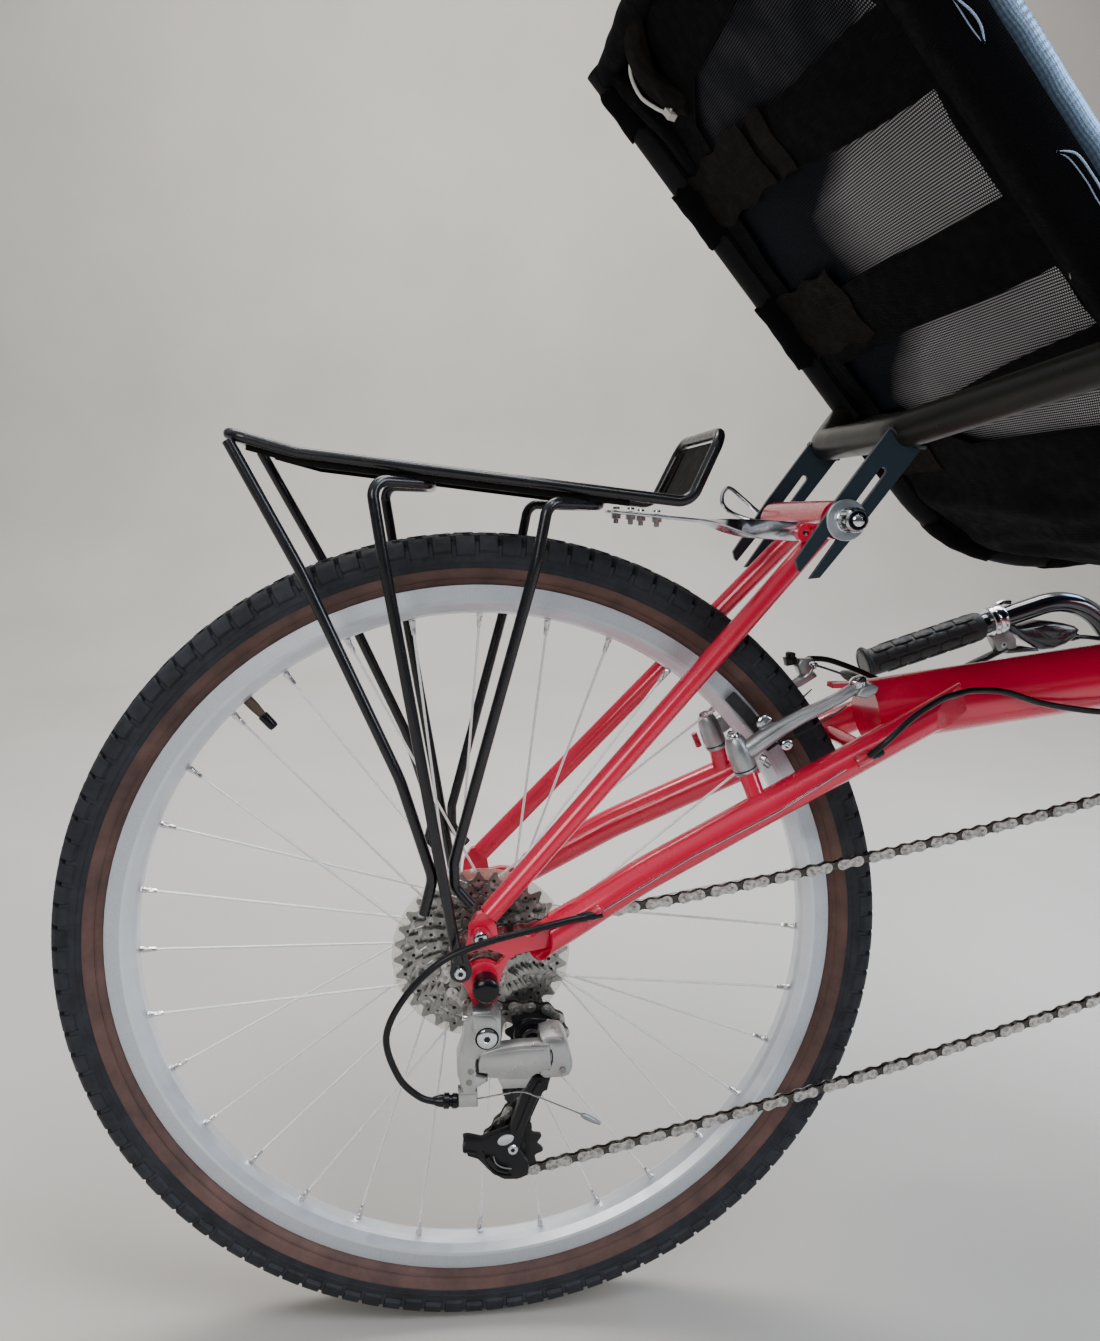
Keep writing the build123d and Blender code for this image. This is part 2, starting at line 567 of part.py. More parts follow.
upper = [on((0, 0), COG_R, TOP_REAR, CHAIN_Y), None, on(RING_C, RING_R, TOP_FRONT, RING_Y)]
upper[1] = run_mid(upper[0], upper[2], TOP_REAR - 90, TOP_FRONT - 90)
lower = [on(TENSION, PULLEY_R, LOW_REAR, CHAIN_Y), None, on(RING_C, RING_R, LOW_FRONT, RING_Y)]
lower[1] = run_mid(lower[0], lower[2], LOW_REAR + 90, LOW_FRONT + 90)

with BuildPart() as chain_upper:
    chain_piece([upper])
finish(chain_upper.part, "chain_upper")

with BuildPart() as chain_lower:
    chain_piece([lower])
finish(chain_lower.part, "chain_lower")

with BuildPart() as chain_ring_wrap:
    chain_piece([arc_at(RING_C, RING_R, LOW_FRONT, TOP_FRONT, RING_Y)])
finish(chain_ring_wrap.part, "chain_ring_wrap")

with BuildPart() as chain_cog_loop:
    chain_piece([
        arc_at((0, 0), COG_R, TOP_REAR, LEAVE_COG + 360, CHAIN_Y),
        (on((0, 0), COG_R, LEAVE_COG, CHAIN_Y), on(GUIDE, PULLEY_R, LEAVE_COG + 180, CHAIN_Y)),
        arc_at(GUIDE, PULLEY_R, LEAVE_COG + 180, LEAVE_GUIDE, CHAIN_Y),
        (on(GUIDE, PULLEY_R, LEAVE_GUIDE, CHAIN_Y), on(TENSION, PULLEY_R, LEAVE_GUIDE + 180, CHAIN_Y)),
        arc_at(TENSION, PULLEY_R, LEAVE_GUIDE + 180, LOW_REAR + 360, CHAIN_Y)])
finish(chain_cog_loop.part, "chain_cog_loop")

with BuildPart() as rear_axle:
    ycyl(0, 0, -80, 80, AXLE_R)
    ycyl(1, -1, -82, -73.5, 9.3)
    ycyl(0, 0, 73.5, 82, 9.0)
finish(rear_axle.part, "rear_axle")

shift_loop = rod([(79.4, -84.6, 54.5), (29, -86, 44.6), (-1, -88.5, 38), (-31, -92, 26), (-59.5, -92, -0.5),
                  (-73.9, -92, -32.7), (-60.5, -91, -66), (-44, -86, -84), (-34, -84, -86.8)],
                 [60, 60, 40, 40, 34, 26, 14], 5.0)
shift_front = rod([(289.2, -57.2, 166.6), (303, -57.8, 170), (333, -50, 194.8), (366, -38, 213.5), (421, -31, 210.5),
                   (491, -30.5, 197), (570, -27, 199), (628, -18.5, 216)], [12, 40, 30, 60, 60, 60], 5.0)
noodle = rod([(277, -34, 219.5), (277, 20, 219.5), (277, 50, 224), (300, 56, 222), (345, 50, 205)], [40, 12, 16], 5.0)
brake_solid = both(arm_hub + arm_bar)
with BuildPart() as cables:
    add(cut(shift_loop, stops, rear_derailleur.part))
    add(cut(shift_front, stops, chain_stay_env))
    add(cut(noodle, brake_solid))
finish(cables.part, "cables")

# ---------------------------------------------------------------------------
# Wheels
# ---------------------------------------------------------------------------
def tyre(center, r_out, half_w, r_rim):
    rm = (r_out + r_rim) / 2 + 2
    w, k = RIM_HALF_W, half_w
    return ring(center, [(r_rim - 6, -w + 2.2), (r_rim + 0.5, -w + 2.2), (r_rim + 3, -w - 1), (rm - 8, -k + 1), (rm + 4, -k),
                         (r_out - 9, -k + 6), (r_out - 2, -k + 14), (r_out, 0), (r_out - 2, k - 14), (r_out - 9, k - 6),
                         (rm + 4, k), (rm - 8, k - 1), (r_rim + 3, w + 1), (r_rim + 0.5, w - 2.2), (r_rim - 6, w - 2.2)])


def rim(center, r_out, r_in):
    w = RIM_HALF_W
    return ring(center, [(r_out, -w), (r_out, -w + 2), (r_out - 7, -w + 2), (r_out - 11, -w + 6), (r_out - 11, w - 6),
                         (r_out - 7, w - 2), (r_out, w - 2), (r_out, w), (r_out - 14, w), (r_in + 2, w - 4), (r_in, w - 8),
                         (r_in, -w + 8), (r_in + 2, -w + 4), (r_out - 14, -w)])


def hub(center, y_left, y_right, flange_r, barrel_r, end_y, bore):
    return ring(center, [(bore, -end_y), (9, -end_y), (9, y_right - 6), (barrel_r, y_right - 2), (flange_r, y_right - 1.2),
                         (flange_r, y_right + 1.2), (barrel_r, y_right + 1.2), (barrel_r, y_left - 1.2), (flange_r, y_left - 1.2),
                         (flange_r, y_left + 1.2), (barrel_r, y_left + 2), (9, y_left + 6), (9, end_y), (bore, end_y)])


# name, centre, spokes, first nipple angle, nipple radius, left y, right y, hole radius, lead angle, side step
SPOKE_SETS = [
    ("rear_spokes", REAR_C, 32, 1.0, REAR_RIM_IN_R - 0.35, 34.0, -21.0, 20.0, 67.5, 3.2),
    ("front_spokes", FRONT_C, 28, 6.4, FRONT_RIM_IN_R - 0.5, 34.0, -34.0, 16.5, 51.4, 3.8),
]


def spoke_ends(row, i):
    """Hub end and rim end of spoke i of one wheel."""
    name, c, count, first, nipple_r, y_l, y_r, hole_r, lead, step = row
    side = 1 if i % 2 == 0 else -1
    y = y_l if side > 0 else y_r
    turn = 1 if (i // 2) % 2 == 0 else -1
    a_rim = first + 360.0 / count * i
    hx, hz = polar((c[0], c[2]), hole_r, a_rim + turn * lead)
    rx, rz = polar((c[0], c[2]), nipple_r, a_rim)
    return Vector(hx, y + side * turn * step, hz), Vector(rx, side * 3.0, rz)


with BuildPart() as rear_spokes:
    for i in range(SPOKE_SETS[0][2]):
        p, q = spoke_ends(SPOKE_SETS[0], i)
        cyl(p, (q - p).normalized(), 1.0, (q - p).length)
finish(rear_spokes.part, "rear_spokes")

with BuildPart() as front_spokes:
    for i in range(SPOKE_SETS[1][2]):
        p, q = spoke_ends(SPOKE_SETS[1], i)
        cyl(p, (q - p).normalized(), 1.0, (q - p).length)
finish(front_spokes.part, "front_spokes")

with BuildPart() as rear_tyre:
    tyre(REAR_C, REAR_TYRE_R, REAR_TYRE_HALF_W, REAR_RIM_OUT_R)
finish(rear_tyre.part, "rear_tyre")

with BuildPart() as rear_rim:
    rim(REAR_C, REAR_RIM_OUT_R, REAR_RIM_IN_R)
finish(rear_rim.part, "rear_rim")

with BuildPart() as rear_hub:
    hub(REAR_C, 34.0, -21.0, 22.5, 14.0, 66.5, AXLE_R + RUN)
finish(rear_hub.part, "rear_hub")

with BuildPart() as spoke_protector:
    ycyl(0, 0, -25.85, -24.9, 69.0, r_in=23.0)
finish(spoke_protector.part, "spoke_protector")

with BuildPart() as front_tyre:
    tyre(FRONT_C, FRONT_TYRE_R, FRONT_TYRE_HALF_W, FRONT_RIM_OUT_R)
finish(front_tyre.part, "front_tyre")

with BuildPart() as front_rim:
    rim(FRONT_C, FRONT_RIM_OUT_R, FRONT_RIM_IN_R)
finish(front_rim.part, "front_rim")

with BuildPart() as front_hub:
    hub(FRONT_C, 34.0, -34.0, 19.0, 13.0, 49.5, 4.5 + RUN)
finish(front_hub.part, "front_hub")

# cassette: tooth counts from the wheel outwards
COGS = (32, 28, 24, 21, 18, 16, 14, 12, 11)
COG_Y0, COG_STEP = -27.3, -4.34
with BuildPart() as cassette:
    ycyl(0, 0, -64.2, -26.4, 17.2)
    for i, teeth in enumerate(COGS):
        y = COG_Y0 + COG_STEP * i
        ycyl(0, 0, y - 0.9, y + 0.9, 6.35 / sin(pi / teeth) - 4.6)
    ycyl(0, 0, -70, -20, 9.0 + RUN, mode=Mode.SUBTRACT)
    ycyl(0, 0, -28, -20, 12.2, mode=Mode.SUBTRACT)
finish(cassette.part, "cassette")

# ---------------------------------------------------------------------------
# Fork
# ---------------------------------------------------------------------------
crown_env = cyl(fork_at(220, 0, -52), (0, 1, 0), 13.0, 104)
with BuildPart() as fork_steerer:
    add(crown_env)
    cyl(fork_at(215), U, 12.7, 287)
    cyl(fork_at(487.5), U, 17.0, 12.5)
finish(fork_steerer.part, "fork_steerer")


def tn(t, n):
    p = fork_at(t, n)
    return (p.X, p.Z)


FORK_PLATE = [tn(t, n) for t, n in ((52, 24), (52, 39), (14, 49), (-4, 49), (-11, 43), (-11, 33), (-6, 27), (-4, 15),
                                    (4, 12), (13, 15), (16, 24), (30, 25))]
AX_X, AX_Z = FRONT_C[0], FRONT_C[2]
FORK_EYE = tn(4.5, 19.5)
fork_leg = rod([fork_at(220, 0, -41), fork_at(36, 32, -52)], 0, 19) - crown_env
fork_leg = biggest(fork_leg) + slab(FORK_PLATE, -56, -50)
fork_leg -= ycyl(AX_X, AX_Z, -70, -40, 4.5)
fork_leg -= ycyl(FORK_EYE[0], FORK_EYE[1], -70, -40, EYELET_R)
fork_leg += ycyl(*tn(128, 16), -50, -40, 6.0)

with BuildPart() as fork_legs:
    add(both(fork_leg))
finish(fork_legs.part, "fork_legs")

with BuildPart() as fork_arm:
    side_arm(fork_at(236), 19.5, 9.0, ARM_LEN, 10, 3.3)
    cyl(fork_at(220), U, 12.7, 40, mode=Mode.SUBTRACT)
finish(fork_arm.part, "fork_arm")

with BuildPart() as front_axle:
    ycyl(AX_X, AX_Z, -62, 62, 4.5)
    ycyl(AX_X, AX_Z, -64, -56, 8.5)
    ycyl(AX_X, AX_Z, 56, 64, 8.5)
finish(front_axle.part, "front_axle")

# front brake: bosses on the legs, arms in front of the crown, pads on the rim
fb_arm = slab([tn(120, 22), tn(120, 34), tn(232, 30), tn(232, 19), tn(190, 18)], -44, -34)
fb_boss = cyl(fork_at(128, 16, -43.5), N, 6.5, 17)
fb_post = ycyl(*tn(154, 28), -34, -20, 3.2)
fb_pad_c = degrees(atan2(tn(154, 28)[1] - AX_Z, tn(154, 28)[0] - AX_X))
fb_pad = slab([polar((AX_X, AX_Z), 156.5, fb_pad_c + a) for a in (-9, -3, 3, 9)]
              + [polar((AX_X, AX_Z), 147, fb_pad_c + a) for a in (9, 3, -3, -9)], -22, -14.5)
with BuildPart() as front_brake:
    add(both(fb_arm + fb_boss + fb_post + fb_pad))
    add(fork_leg, mode=Mode.SUBTRACT)
    add(mirrored(fork_leg), mode=Mode.SUBTRACT)
finish(front_brake.part, "front_brake")

# ---------------------------------------------------------------------------
# Under-seat handlebar and tie rod
# ---------------------------------------------------------------------------
bar_x, bar_z = bar_at(-100).X, bar_at(-100).Z
BAR_PATH = [(bar_x, 0, bar_z), (bar_x, -150, bar_z), (735, -GRIP_Y, 178), (650, -GRIP_Y, 274), (418, -GRIP_Y, 193)]
bar_half = rod(BAR_PATH, [60, 55, 70], BAR_OD)
with BuildPart() as handlebar:
    add(both(bar_half))
finish(handlebar.part, "handlebar")

stem_solid = cyl(bar_at(-100, 0, -22), (0, 1, 0), 17.0, 44) + cyl(bar_at(-100), U, 8.0, 64) \
    + cyl(bar_at(-126), U, 12.0, 26) + side_arm(bar_at(-129), 13.0, 9.0, ARM_LEN, 8, 3.0 + RUN)
with BuildPart() as bar_stem:
    add(stem_solid)
    cyl(bar_at(-100, 0, -30), (0, 1, 0), BAR_OD / 2, 60, mode=Mode.SUBTRACT)
finish(bar_stem.part, "bar_stem")

GRIP_DIR = Vector(650 - 418, 0, 274 - 193).normalized()
GRIP_REAR = Vector(418, -GRIP_Y, 193)
grip = cyl(GRIP_REAR - GRIP_DIR * 4, GRIP_DIR, 16.0, 134) + cyl(GRIP_REAR - GRIP_DIR * 4, GRIP_DIR, 19.0, 5)
grip -= cyl(GRIP_REAR, GRIP_DIR, BAR_OD / 2, 200)
with BuildPart() as grips:
    add(both(grip))
finish(grips.part, "grips")

LEVER_AT = GRIP_REAR + GRIP_DIR * 146
LEVER_DOWN = Vector(GRIP_DIR.Z, 0, -GRIP_DIR.X)
lever = cyl(LEVER_AT - GRIP_DIR * 8, GRIP_DIR, 16.5, 16, r_in=BAR_OD / 2)
lever += slab([((LEVER_AT + GRIP_DIR * a + LEVER_DOWN * d).X, (LEVER_AT + GRIP_DIR * a + LEVER_DOWN * d).Z)
               for a, d in ((-12, 14), (34, 14), (46, 22), (30, 32), (-8, 36))], -GRIP_Y - 8, -GRIP_Y + 8)
lever += slab([((LEVER_AT + GRIP_DIR * a + LEVER_DOWN * d).X, (LEVER_AT + GRIP_DIR * a + LEVER_DOWN * d).Z)
               for a, d in ((0, 26), (6, 36), (-40, 44), (-88, 49), (-90, 42), (-40, 36))], -GRIP_Y - 6, -GRIP_Y + 6)
lever -= cyl(GRIP_REAR, GRIP_DIR, BAR_OD / 2, 200)
with BuildPart() as brake_levers:
    add(both(lever))
finish(brake_levers.part, "brake_levers")

ROD_A, ROD_B = bar_at(-134, 0, ARM_LEN), fork_at(251, 0, ARM_LEN)
with BuildPart() as tie_rod:
    rod([ROD_A, ROD_B], 0, 8)
    cyl(ROD_A - U * 4, U, 8.0, 8)
    cyl(ROD_B - U * 4, U, 8.0, 8)
    cyl(ROD_A - U * 4, U, 3.0, 19)
    cyl(ROD_B - U * 17, U, 3.0, 17)
finish(tie_rod.part, "tie_rod")

# ---------------------------------------------------------------------------
# Cranks and pedals
# ---------------------------------------------------------------------------
RING_TEETH = ((32, -41.0, 34.0), (42, -47.5, 58.0), (52, -54.0, 58.0))   # teeth, y, inner radius
BX, BZ = BB[0], BB[2]
with BuildPart() as crankset:
    for teeth, y, r_in in RING_TEETH:
        ycyl(BX, BZ, y - 1, y + 1, 6.35 / sin(pi / teeth) - 4.6, r_in=r_in)
    for k in range(5):
        a = 90 + 72 * k
        link((BX, BZ), polar((BX, BZ), 62, a), 12, 7, -53.5, -46.5)
        link((BX, BZ), polar((BX, BZ), 38, a), 10, 7, -50, -40)
    ycyl(BX, BZ, -71, -44, 19.0)
    link((BX, BZ), (BX + CRANK_LEN, BZ), 19, 13, -71, -58)
    ycyl(BX + CRANK_LEN, BZ, -160, -71, 4.5)
    ycyl(BX, BZ, -75, -35, 8.5, mode=Mode.SUBTRACT)
finish(crankset.part, "crankset")

with BuildPart() as crank_arm_left:
    link((BX, BZ), (BX - CRANK_LEN, BZ), 19, 13, 58, 71)
    ycyl(BX, BZ, 44, 58, 17.0)
    ycyl(BX - CRANK_LEN, BZ, 71, 160, 4.5)
    ycyl(BX, BZ, -71, 60, 8.5)
finish(crank_arm_left.part, "crank_arm_left")


def pedal(x, y0, y1):
    slab([(x - 48, BZ - 9), (x + 48, BZ - 9), (x + 52, BZ), (x + 48, BZ + 9), (x - 48, BZ + 9), (x - 52, BZ)], y0, y1)
    lo, hi = min(y0, y1), max(y0, y1)
    for s in (-1, 1):
        prism([(x + s * 16, lo + 8), (x + s * 42, lo + 8), (x + s * 42, hi - 8), (x + s * 16, hi - 8)],
              BZ - 20, BZ + 20, mode=Mode.SUBTRACT)
    ycyl(x, BZ, lo - 5, hi + 5, 4.5 + RUN, mode=Mode.SUBTRACT)


with BuildPart() as pedal_right:
    pedal(BX + CRANK_LEN, -158, -78)
finish(pedal_right.part, "pedal_right")

with BuildPart() as pedal_left:
    pedal(BX - CRANK_LEN, 78, 158)
finish(pedal_left.part, "pedal_left")
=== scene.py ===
import bpy, bmesh, math, random
from math import sin, cos, pi, radians, degrees, atan2, acos, hypot, tan
from mathutils import Matrix, Vector


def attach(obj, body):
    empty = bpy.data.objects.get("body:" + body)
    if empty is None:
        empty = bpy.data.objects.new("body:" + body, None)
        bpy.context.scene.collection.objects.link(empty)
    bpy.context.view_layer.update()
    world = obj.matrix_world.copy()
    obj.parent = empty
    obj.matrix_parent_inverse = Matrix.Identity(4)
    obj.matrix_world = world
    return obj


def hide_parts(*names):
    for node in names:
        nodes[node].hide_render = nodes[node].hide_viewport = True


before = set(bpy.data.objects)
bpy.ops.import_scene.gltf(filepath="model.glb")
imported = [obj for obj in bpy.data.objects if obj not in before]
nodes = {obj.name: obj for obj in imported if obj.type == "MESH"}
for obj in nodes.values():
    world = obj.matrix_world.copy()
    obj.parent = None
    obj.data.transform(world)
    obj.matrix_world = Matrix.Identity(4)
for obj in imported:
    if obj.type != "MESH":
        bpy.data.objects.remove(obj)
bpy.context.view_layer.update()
random.seed(7)

# ---------------------------------------------------------------------------
# Hub frame (mm, origin at the rear hub) to the row frame (m)
# ---------------------------------------------------------------------------
RIDER = Vector((520.0, 0.0, 326.5))


def P(x, y, z):
    return (Vector((x, y, z)) - RIDER) / 1000


def PV(v):
    return (Vector(v) - RIDER) / 1000


# ---------------------------------------------------------------------------
# Camera
# ---------------------------------------------------------------------------
R0 = Vector((0.993444, -0.11050486, 0.02928634))
R1 = Vector((0.01150125, -0.15826827, -0.98732916))
R2 = Vector((0.11373977, 0.98119307, -0.15597972))
cam_data = bpy.data.cameras.new("camera")
cam_data.sensor_width = 36.0
cam_data.sensor_fit = "AUTO"
cam_data.lens = 36.0 * 976.436 / 1341.0
cam_data.clip_start = 0.02
cam_data.clip_end = 60
cam = bpy.data.objects.new("camera", cam_data)
bpy.context.scene.collection.objects.link(cam)
m = Matrix.Identity(4)
for i in range(3):
    m[i][0], m[i][1], m[i][2] = R0[i], -R1[i], -R2[i]
loc = P(-35.859, -743.344, 337.627)
m.translation = loc
cam.matrix_world = m
bpy.context.scene.camera = cam

# ---------------------------------------------------------------------------
# Materials
# ---------------------------------------------------------------------------
class M:
    """A node material, built step by step."""

    def __init__(self, name):
        self.m = bpy.data.materials.new(name)
        self.m.use_nodes = True
        self.t = self.m.node_tree
        self.b = self.t.nodes["Principled BSDF"]
        self.co = self.t.nodes.new("ShaderNodeTexCoord").outputs["Object"]
        self.last = None

    def n(self, kind, **kw):
        node = self.t.nodes.new(kind)
        for k, v in kw.items():
            setattr(node, k, v)
        return node

    def link(self, a, b):
        self.t.links.new(a, b)

    def mapped(self, scale, rot=(0, 0, 0), src=None):
        n = self.n("ShaderNodeMapping")
        n.inputs["Scale"].default_value = scale
        n.inputs["Rotation"].default_value = rot
        self.link(src or self.co, n.inputs["Vector"])
        return n.outputs["Vector"]

    def noise(self, scale, detail=4.0, rough=0.6, src=None, dist=0.0):
        n = self.n("ShaderNodeTexNoise")
        n.inputs["Scale"].default_value = scale
        n.inputs["Detail"].default_value = detail
        n.inputs["Roughness"].default_value = rough
        n.inputs["Distortion"].default_value = dist
        self.link(src or self.co, n.inputs["Vector"])
        return n.outputs["Fac"]

    def ramp(self, fac, stops):
        n = self.n("ShaderNodeValToRGB")
        e = n.color_ramp.elements
        while len(e) < len(stops):
            e.new(0.5)
        for k, (pos, col) in enumerate(stops):
            e[k].position = pos
            e[k].color = col if hasattr(col, "__len__") and len(col) == 4 else (
                (*col, 1) if hasattr(col, "__len__") else (col, col, col, 1))
        self.link(fac, n.inputs["Fac"])
        return n.outputs["Color"]

    def range(self, v, a, b, c, d):
        n = self.n("ShaderNodeMapRange")
        for k, x in zip(("From Min", "From Max", "To Min", "To Max"), (a, b, c, d)):
            n.inputs[k].default_value = x
        self.link(v, n.inputs["Value"])
        return n.outputs["Result"]

    def math(self, op, a, b=None, c=None):
        n = self.n("ShaderNodeMath", operation=op)
        for k, x in enumerate((a, b, c)):
            if x is None:
                continue
            if hasattr(x, "links"):
                self.link(x, n.inputs[k])
            else:
                n.inputs[k].default_value = x
        return n.outputs["Value"]

    def mix(self, fac, a, b, blend="MIX"):
        n = self.n("ShaderNodeMix", data_type="RGBA", blend_type=blend)
        for sock, x in ((n.inputs["Factor"], fac), (n.inputs[6], a), (n.inputs[7], b)):
            if hasattr(x, "links"):
                self.link(x, sock)
            elif hasattr(x, "__len__"):
                sock.default_value = (*x[:3], 1)
            else:
                sock.default_value = x
        return n.outputs[2]

    def sep(self, v=None):
        n = self.n("ShaderNodeSeparateXYZ")
        self.link(v or self.co, n.inputs[0])
        return n.outputs

    def bump(self, height, strength=0.3, dist=0.001):
        n = self.n("ShaderNodeBump")
        n.inputs["Strength"].default_value = strength
        n.inputs["Distance"].default_value = dist
        self.link(height, n.inputs["Height"])
        if self.last is not None:
            self.link(self.last, n.inputs["Normal"])
        self.last = n.outputs["Normal"]
        self.link(self.last, self.b.inputs["Normal"])
        return self

    def set(self, **kw):
        for k, v in kw.items():
            sock = self.b.inputs[k.replace("_", " ")]
            if hasattr(v, "links"):
                self.link(v, sock)
            elif hasattr(v, "__len__") and len(v) == 3:
                sock.default_value = (*v, 1)
            else:
                sock.default_value = v
        return self


def worn(name, c0, c1, r0, r1, metal=0.0, scale=60, bump=0.0, bscale=600, coat=0.0, coat_r=0.05, edge=None, dust=None,
         detail=5.0):
    """General finish: two tones by noise, varied roughness, fine bump, dust on top faces, paler edges."""
    w = M(name)
    base = w.ramp(w.noise(scale, detail), [(0.3, c0), (0.7, c1)])
    rough = w.range(w.noise(scale * 2.3, 6.0, 0.65), 0.3, 0.7, r0, r1)
    geo = w.n("ShaderNodeNewGeometry")
    if edge:
        e = w.range(geo.outputs["Pointiness"], 0.5, 0.56, 0.0, 1.0)
        base = w.mix(w.math("MULTIPLY", e, w.range(w.noise(300, 3), 0.4, 0.6, 0.2, 1.0)), base, edge)
    if dust:
        up = w.sep(geo.outputs["Normal"])[2]
        d = w.math("MULTIPLY", w.range(up, 0.2, 1.0, 0.0, dust[1]), w.range(w.noise(220, 8, 0.7), 0.35, 0.7, 0.3, 1.0))
        base = w.mix(d, base, dust[0])
        rough = w.math("ADD", rough, w.math("MULTIPLY", d, 0.4))
    w.set(Base_Color=base, Roughness=rough, Metallic=metal, Coat_Weight=coat, Coat_Roughness=coat_r)
    if bump:
        w.bump(w.noise(bscale, 6.0, 0.7), bump, 0.0006)
    return w


RED = worn("red_paint", (0.60, 0.005, 0.040), (0.72, 0.009, 0.056), 0.18, 0.32, 0.05, 9, 0.05, 260, 0.62, 0.04,
           detail=3.0)
# small scuffs in the clear coat
sc = RED.noise(90, 10, 0.75)
RED.set(Base_Color=RED.mix(RED.range(sc, 0.70, 0.76, 0.0, 0.55), RED.b.inputs["Base Color"].links[0].from_socket,
                           (0.85, 0.35, 0.38)))
RED_WELD = worn("red_weld", (0.44, 0.004, 0.034), (0.58, 0.01, 0.05), 0.2, 0.4, 0.1, 120, 0.6, 240, 1.0, 0.05)
RACK = worn("rack_paint", (0.0035, 0.0035, 0.005), (0.007, 0.007, 0.010), 0.20, 0.32, 0.0, 40, 0.10, 420, 0.25, 0.10,
            dust=((0.13, 0.12, 0.11), 0.05))
RACK_FLAT = worn("rack_plate_paint", (0.004, 0.004, 0.004), (0.008, 0.008, 0.007), 0.60, 0.75, 0.0, 40, 0.10, 420)
RACK_FLAT.b.inputs["Specular IOR Level"].default_value = 0.08
HOOP = worn("hoop_paint", (0.008, 0.008, 0.007), (0.015, 0.0145, 0.011), 0.26, 0.38, 0.0, 20, 0.15, 700,
            dust=((0.12, 0.10, 0.07), 0.14))
PLATE = worn("plate_paint", (0.013, 0.024, 0.036), (0.017, 0.031, 0.045), 0.36, 0.46, 0.0, 14, 0.10, 300)
WELD_DARK = worn("weld_dark", (0.035, 0.03, 0.026), (0.09, 0.075, 0.06), 0.4, 0.6, 0.5, 300, 0.7, 260)
SEAT_TUBE = worn("seat_tube_paint", (0.006, 0.0063, 0.007), (0.010, 0.0105, 0.012), 0.50, 0.62, 0.0, 30, 0.12, 500)
BAR = worn("bar_paint", (0.006, 0.006, 0.009), (0.010, 0.010, 0.015), 0.10, 0.22, 0.0, 30, 0.05, 300, 1.0, 0.04)
BLACK_ALLOY = worn("black_alloy", (0.012, 0.012, 0.013), (0.03, 0.03, 0.032), 0.3, 0.45, 0.6, 60, 0.1, 600)
BLACK_STEEL = worn("black_steel", (0.006, 0.006, 0.007), (0.009, 0.009, 0.011), 0.30, 0.40, 0.0, 20, 0.05, 300)
CHROME = worn("chrome_hardware", (0.60, 0.61, 0.64), (0.80, 0.81, 0.84), 0.08, 0.2, 1.0, 80, 0.05, 500)
CHROME_DARK = worn("chrome_dark", (0.16, 0.16, 0.19), (0.32, 0.32, 0.36), 0.1, 0.25, 1.0, 80, 0.05, 500)
POLISHED = worn("polished_strip", (0.42, 0.42, 0.45), (0.75, 0.76, 0.80), 0.14, 0.3, 1.0, 60, 0.12, 300)
BRAKE = worn("brake_alloy", (0.33, 0.35, 0.36), (0.50, 0.52, 0.54), 0.28, 0.44, 0.85, 40, 0.12, 600)
SILVER = worn("silver_alloy", (0.40, 0.405, 0.40), (0.52, 0.52, 0.515), 0.24, 0.36, 0.92, 30, 0.08, 700)
SILVER_DARK = worn("silver_dark", (0.20, 0.205, 0.20), (0.34, 0.34, 0.33), 0.36, 0.5, 0.8, 60, 0.2, 600)
PLASTIC = worn("black_plastic", (0.007, 0.007, 0.008), (0.017, 0.017, 0.018), 0.38, 0.55, 0.0, 80, 0.3, 900)
CAP_BLACK = worn("cap_black", (0.003, 0.003, 0.004), (0.006, 0.006, 0.008), 0.14, 0.24, 0.0, 80, 0.06, 500)
CAP_BLACK.b.inputs["Specular IOR Level"].default_value = 0.32
RUBBER = worn("brake_rubber", (0.008, 0.008, 0.010), (0.022, 0.022, 0.026), 0.55, 0.75, 0.0, 120, 0.4, 900)
CHAIN_OUT = worn("chain_outer", (0.15, 0.14, 0.128), (0.32, 0.30, 0.275), 0.24, 0.40, 1.0, 400, 0.15, 900,
                 edge=(0.62, 0.6, 0.58))
CHAIN_IN = worn("chain_inner", (0.05, 0.046, 0.042), (0.13, 0.12, 0.11), 0.3, 0.5, 1.0, 400, 0.2, 900)
for w_, v_ in ((RACK, 0.4), (PLATE, 0.35), (PLASTIC, 0.35), (SEAT_TUBE, 0.08), (BLACK_STEEL, 0.30), (HOOP, 0.35)):
    w_.b.inputs["Specular IOR Level"].default_value = v_
DARK_STEEL = worn("dark_steel", (0.02, 0.02, 0.022), (0.05, 0.05, 0.055), 0.22, 0.4, 0.7, 80, 0.1, 500)
CABLE = worn("cable_black", (0.004, 0.004, 0.005), (0.008, 0.008, 0.010), 0.24, 0.36, 0.0, 60, 0.05, 700)
CABLE.b.inputs["Specular IOR Level"].default_value = 0.3
SPOKE = worn("spoke_steel", (0.84, 0.84, 0.86), (0.97, 0.97, 0.98), 0.28, 0.40, 0.35, 300, 0.05, 900)
NIPPLE = worn("nipple_brass", (0.62, 0.62, 0.64), (0.85, 0.85, 0.88), 0.2, 0.34, 1.0, 300, 0.05, 900)
CASSETTE = worn("cassette_steel", (0.07, 0.065, 0.06), (0.20, 0.19, 0.178), 0.26, 0.44, 0.9, 60, 0.30, 500,
                edge=(0.62, 0.61, 0.59), detail=7.0)
# dark spacers and rivets, and painted shade in the cogs' hollows and the lock ring's notches
COG_DARK_AND_SHADE = worn("cassette_spacer_and_recess_shade", (0.008, 0.0075, 0.007), (0.026, 0.024, 0.022), 0.5, 0.7, 0.4, 90, 0.3, 500)
COG_TIP = worn("cassette_teeth", (0.22, 0.21, 0.197), (0.42, 0.405, 0.385), 0.26, 0.42, 0.95, 90, 0.2, 500)
CRANK = worn("crank_alloy", (0.03, 0.03, 0.032), (0.06, 0.06, 0.062), 0.24, 0.4, 0.7, 60, 0.08, 600,
             edge=(0.4, 0.4, 0.4))
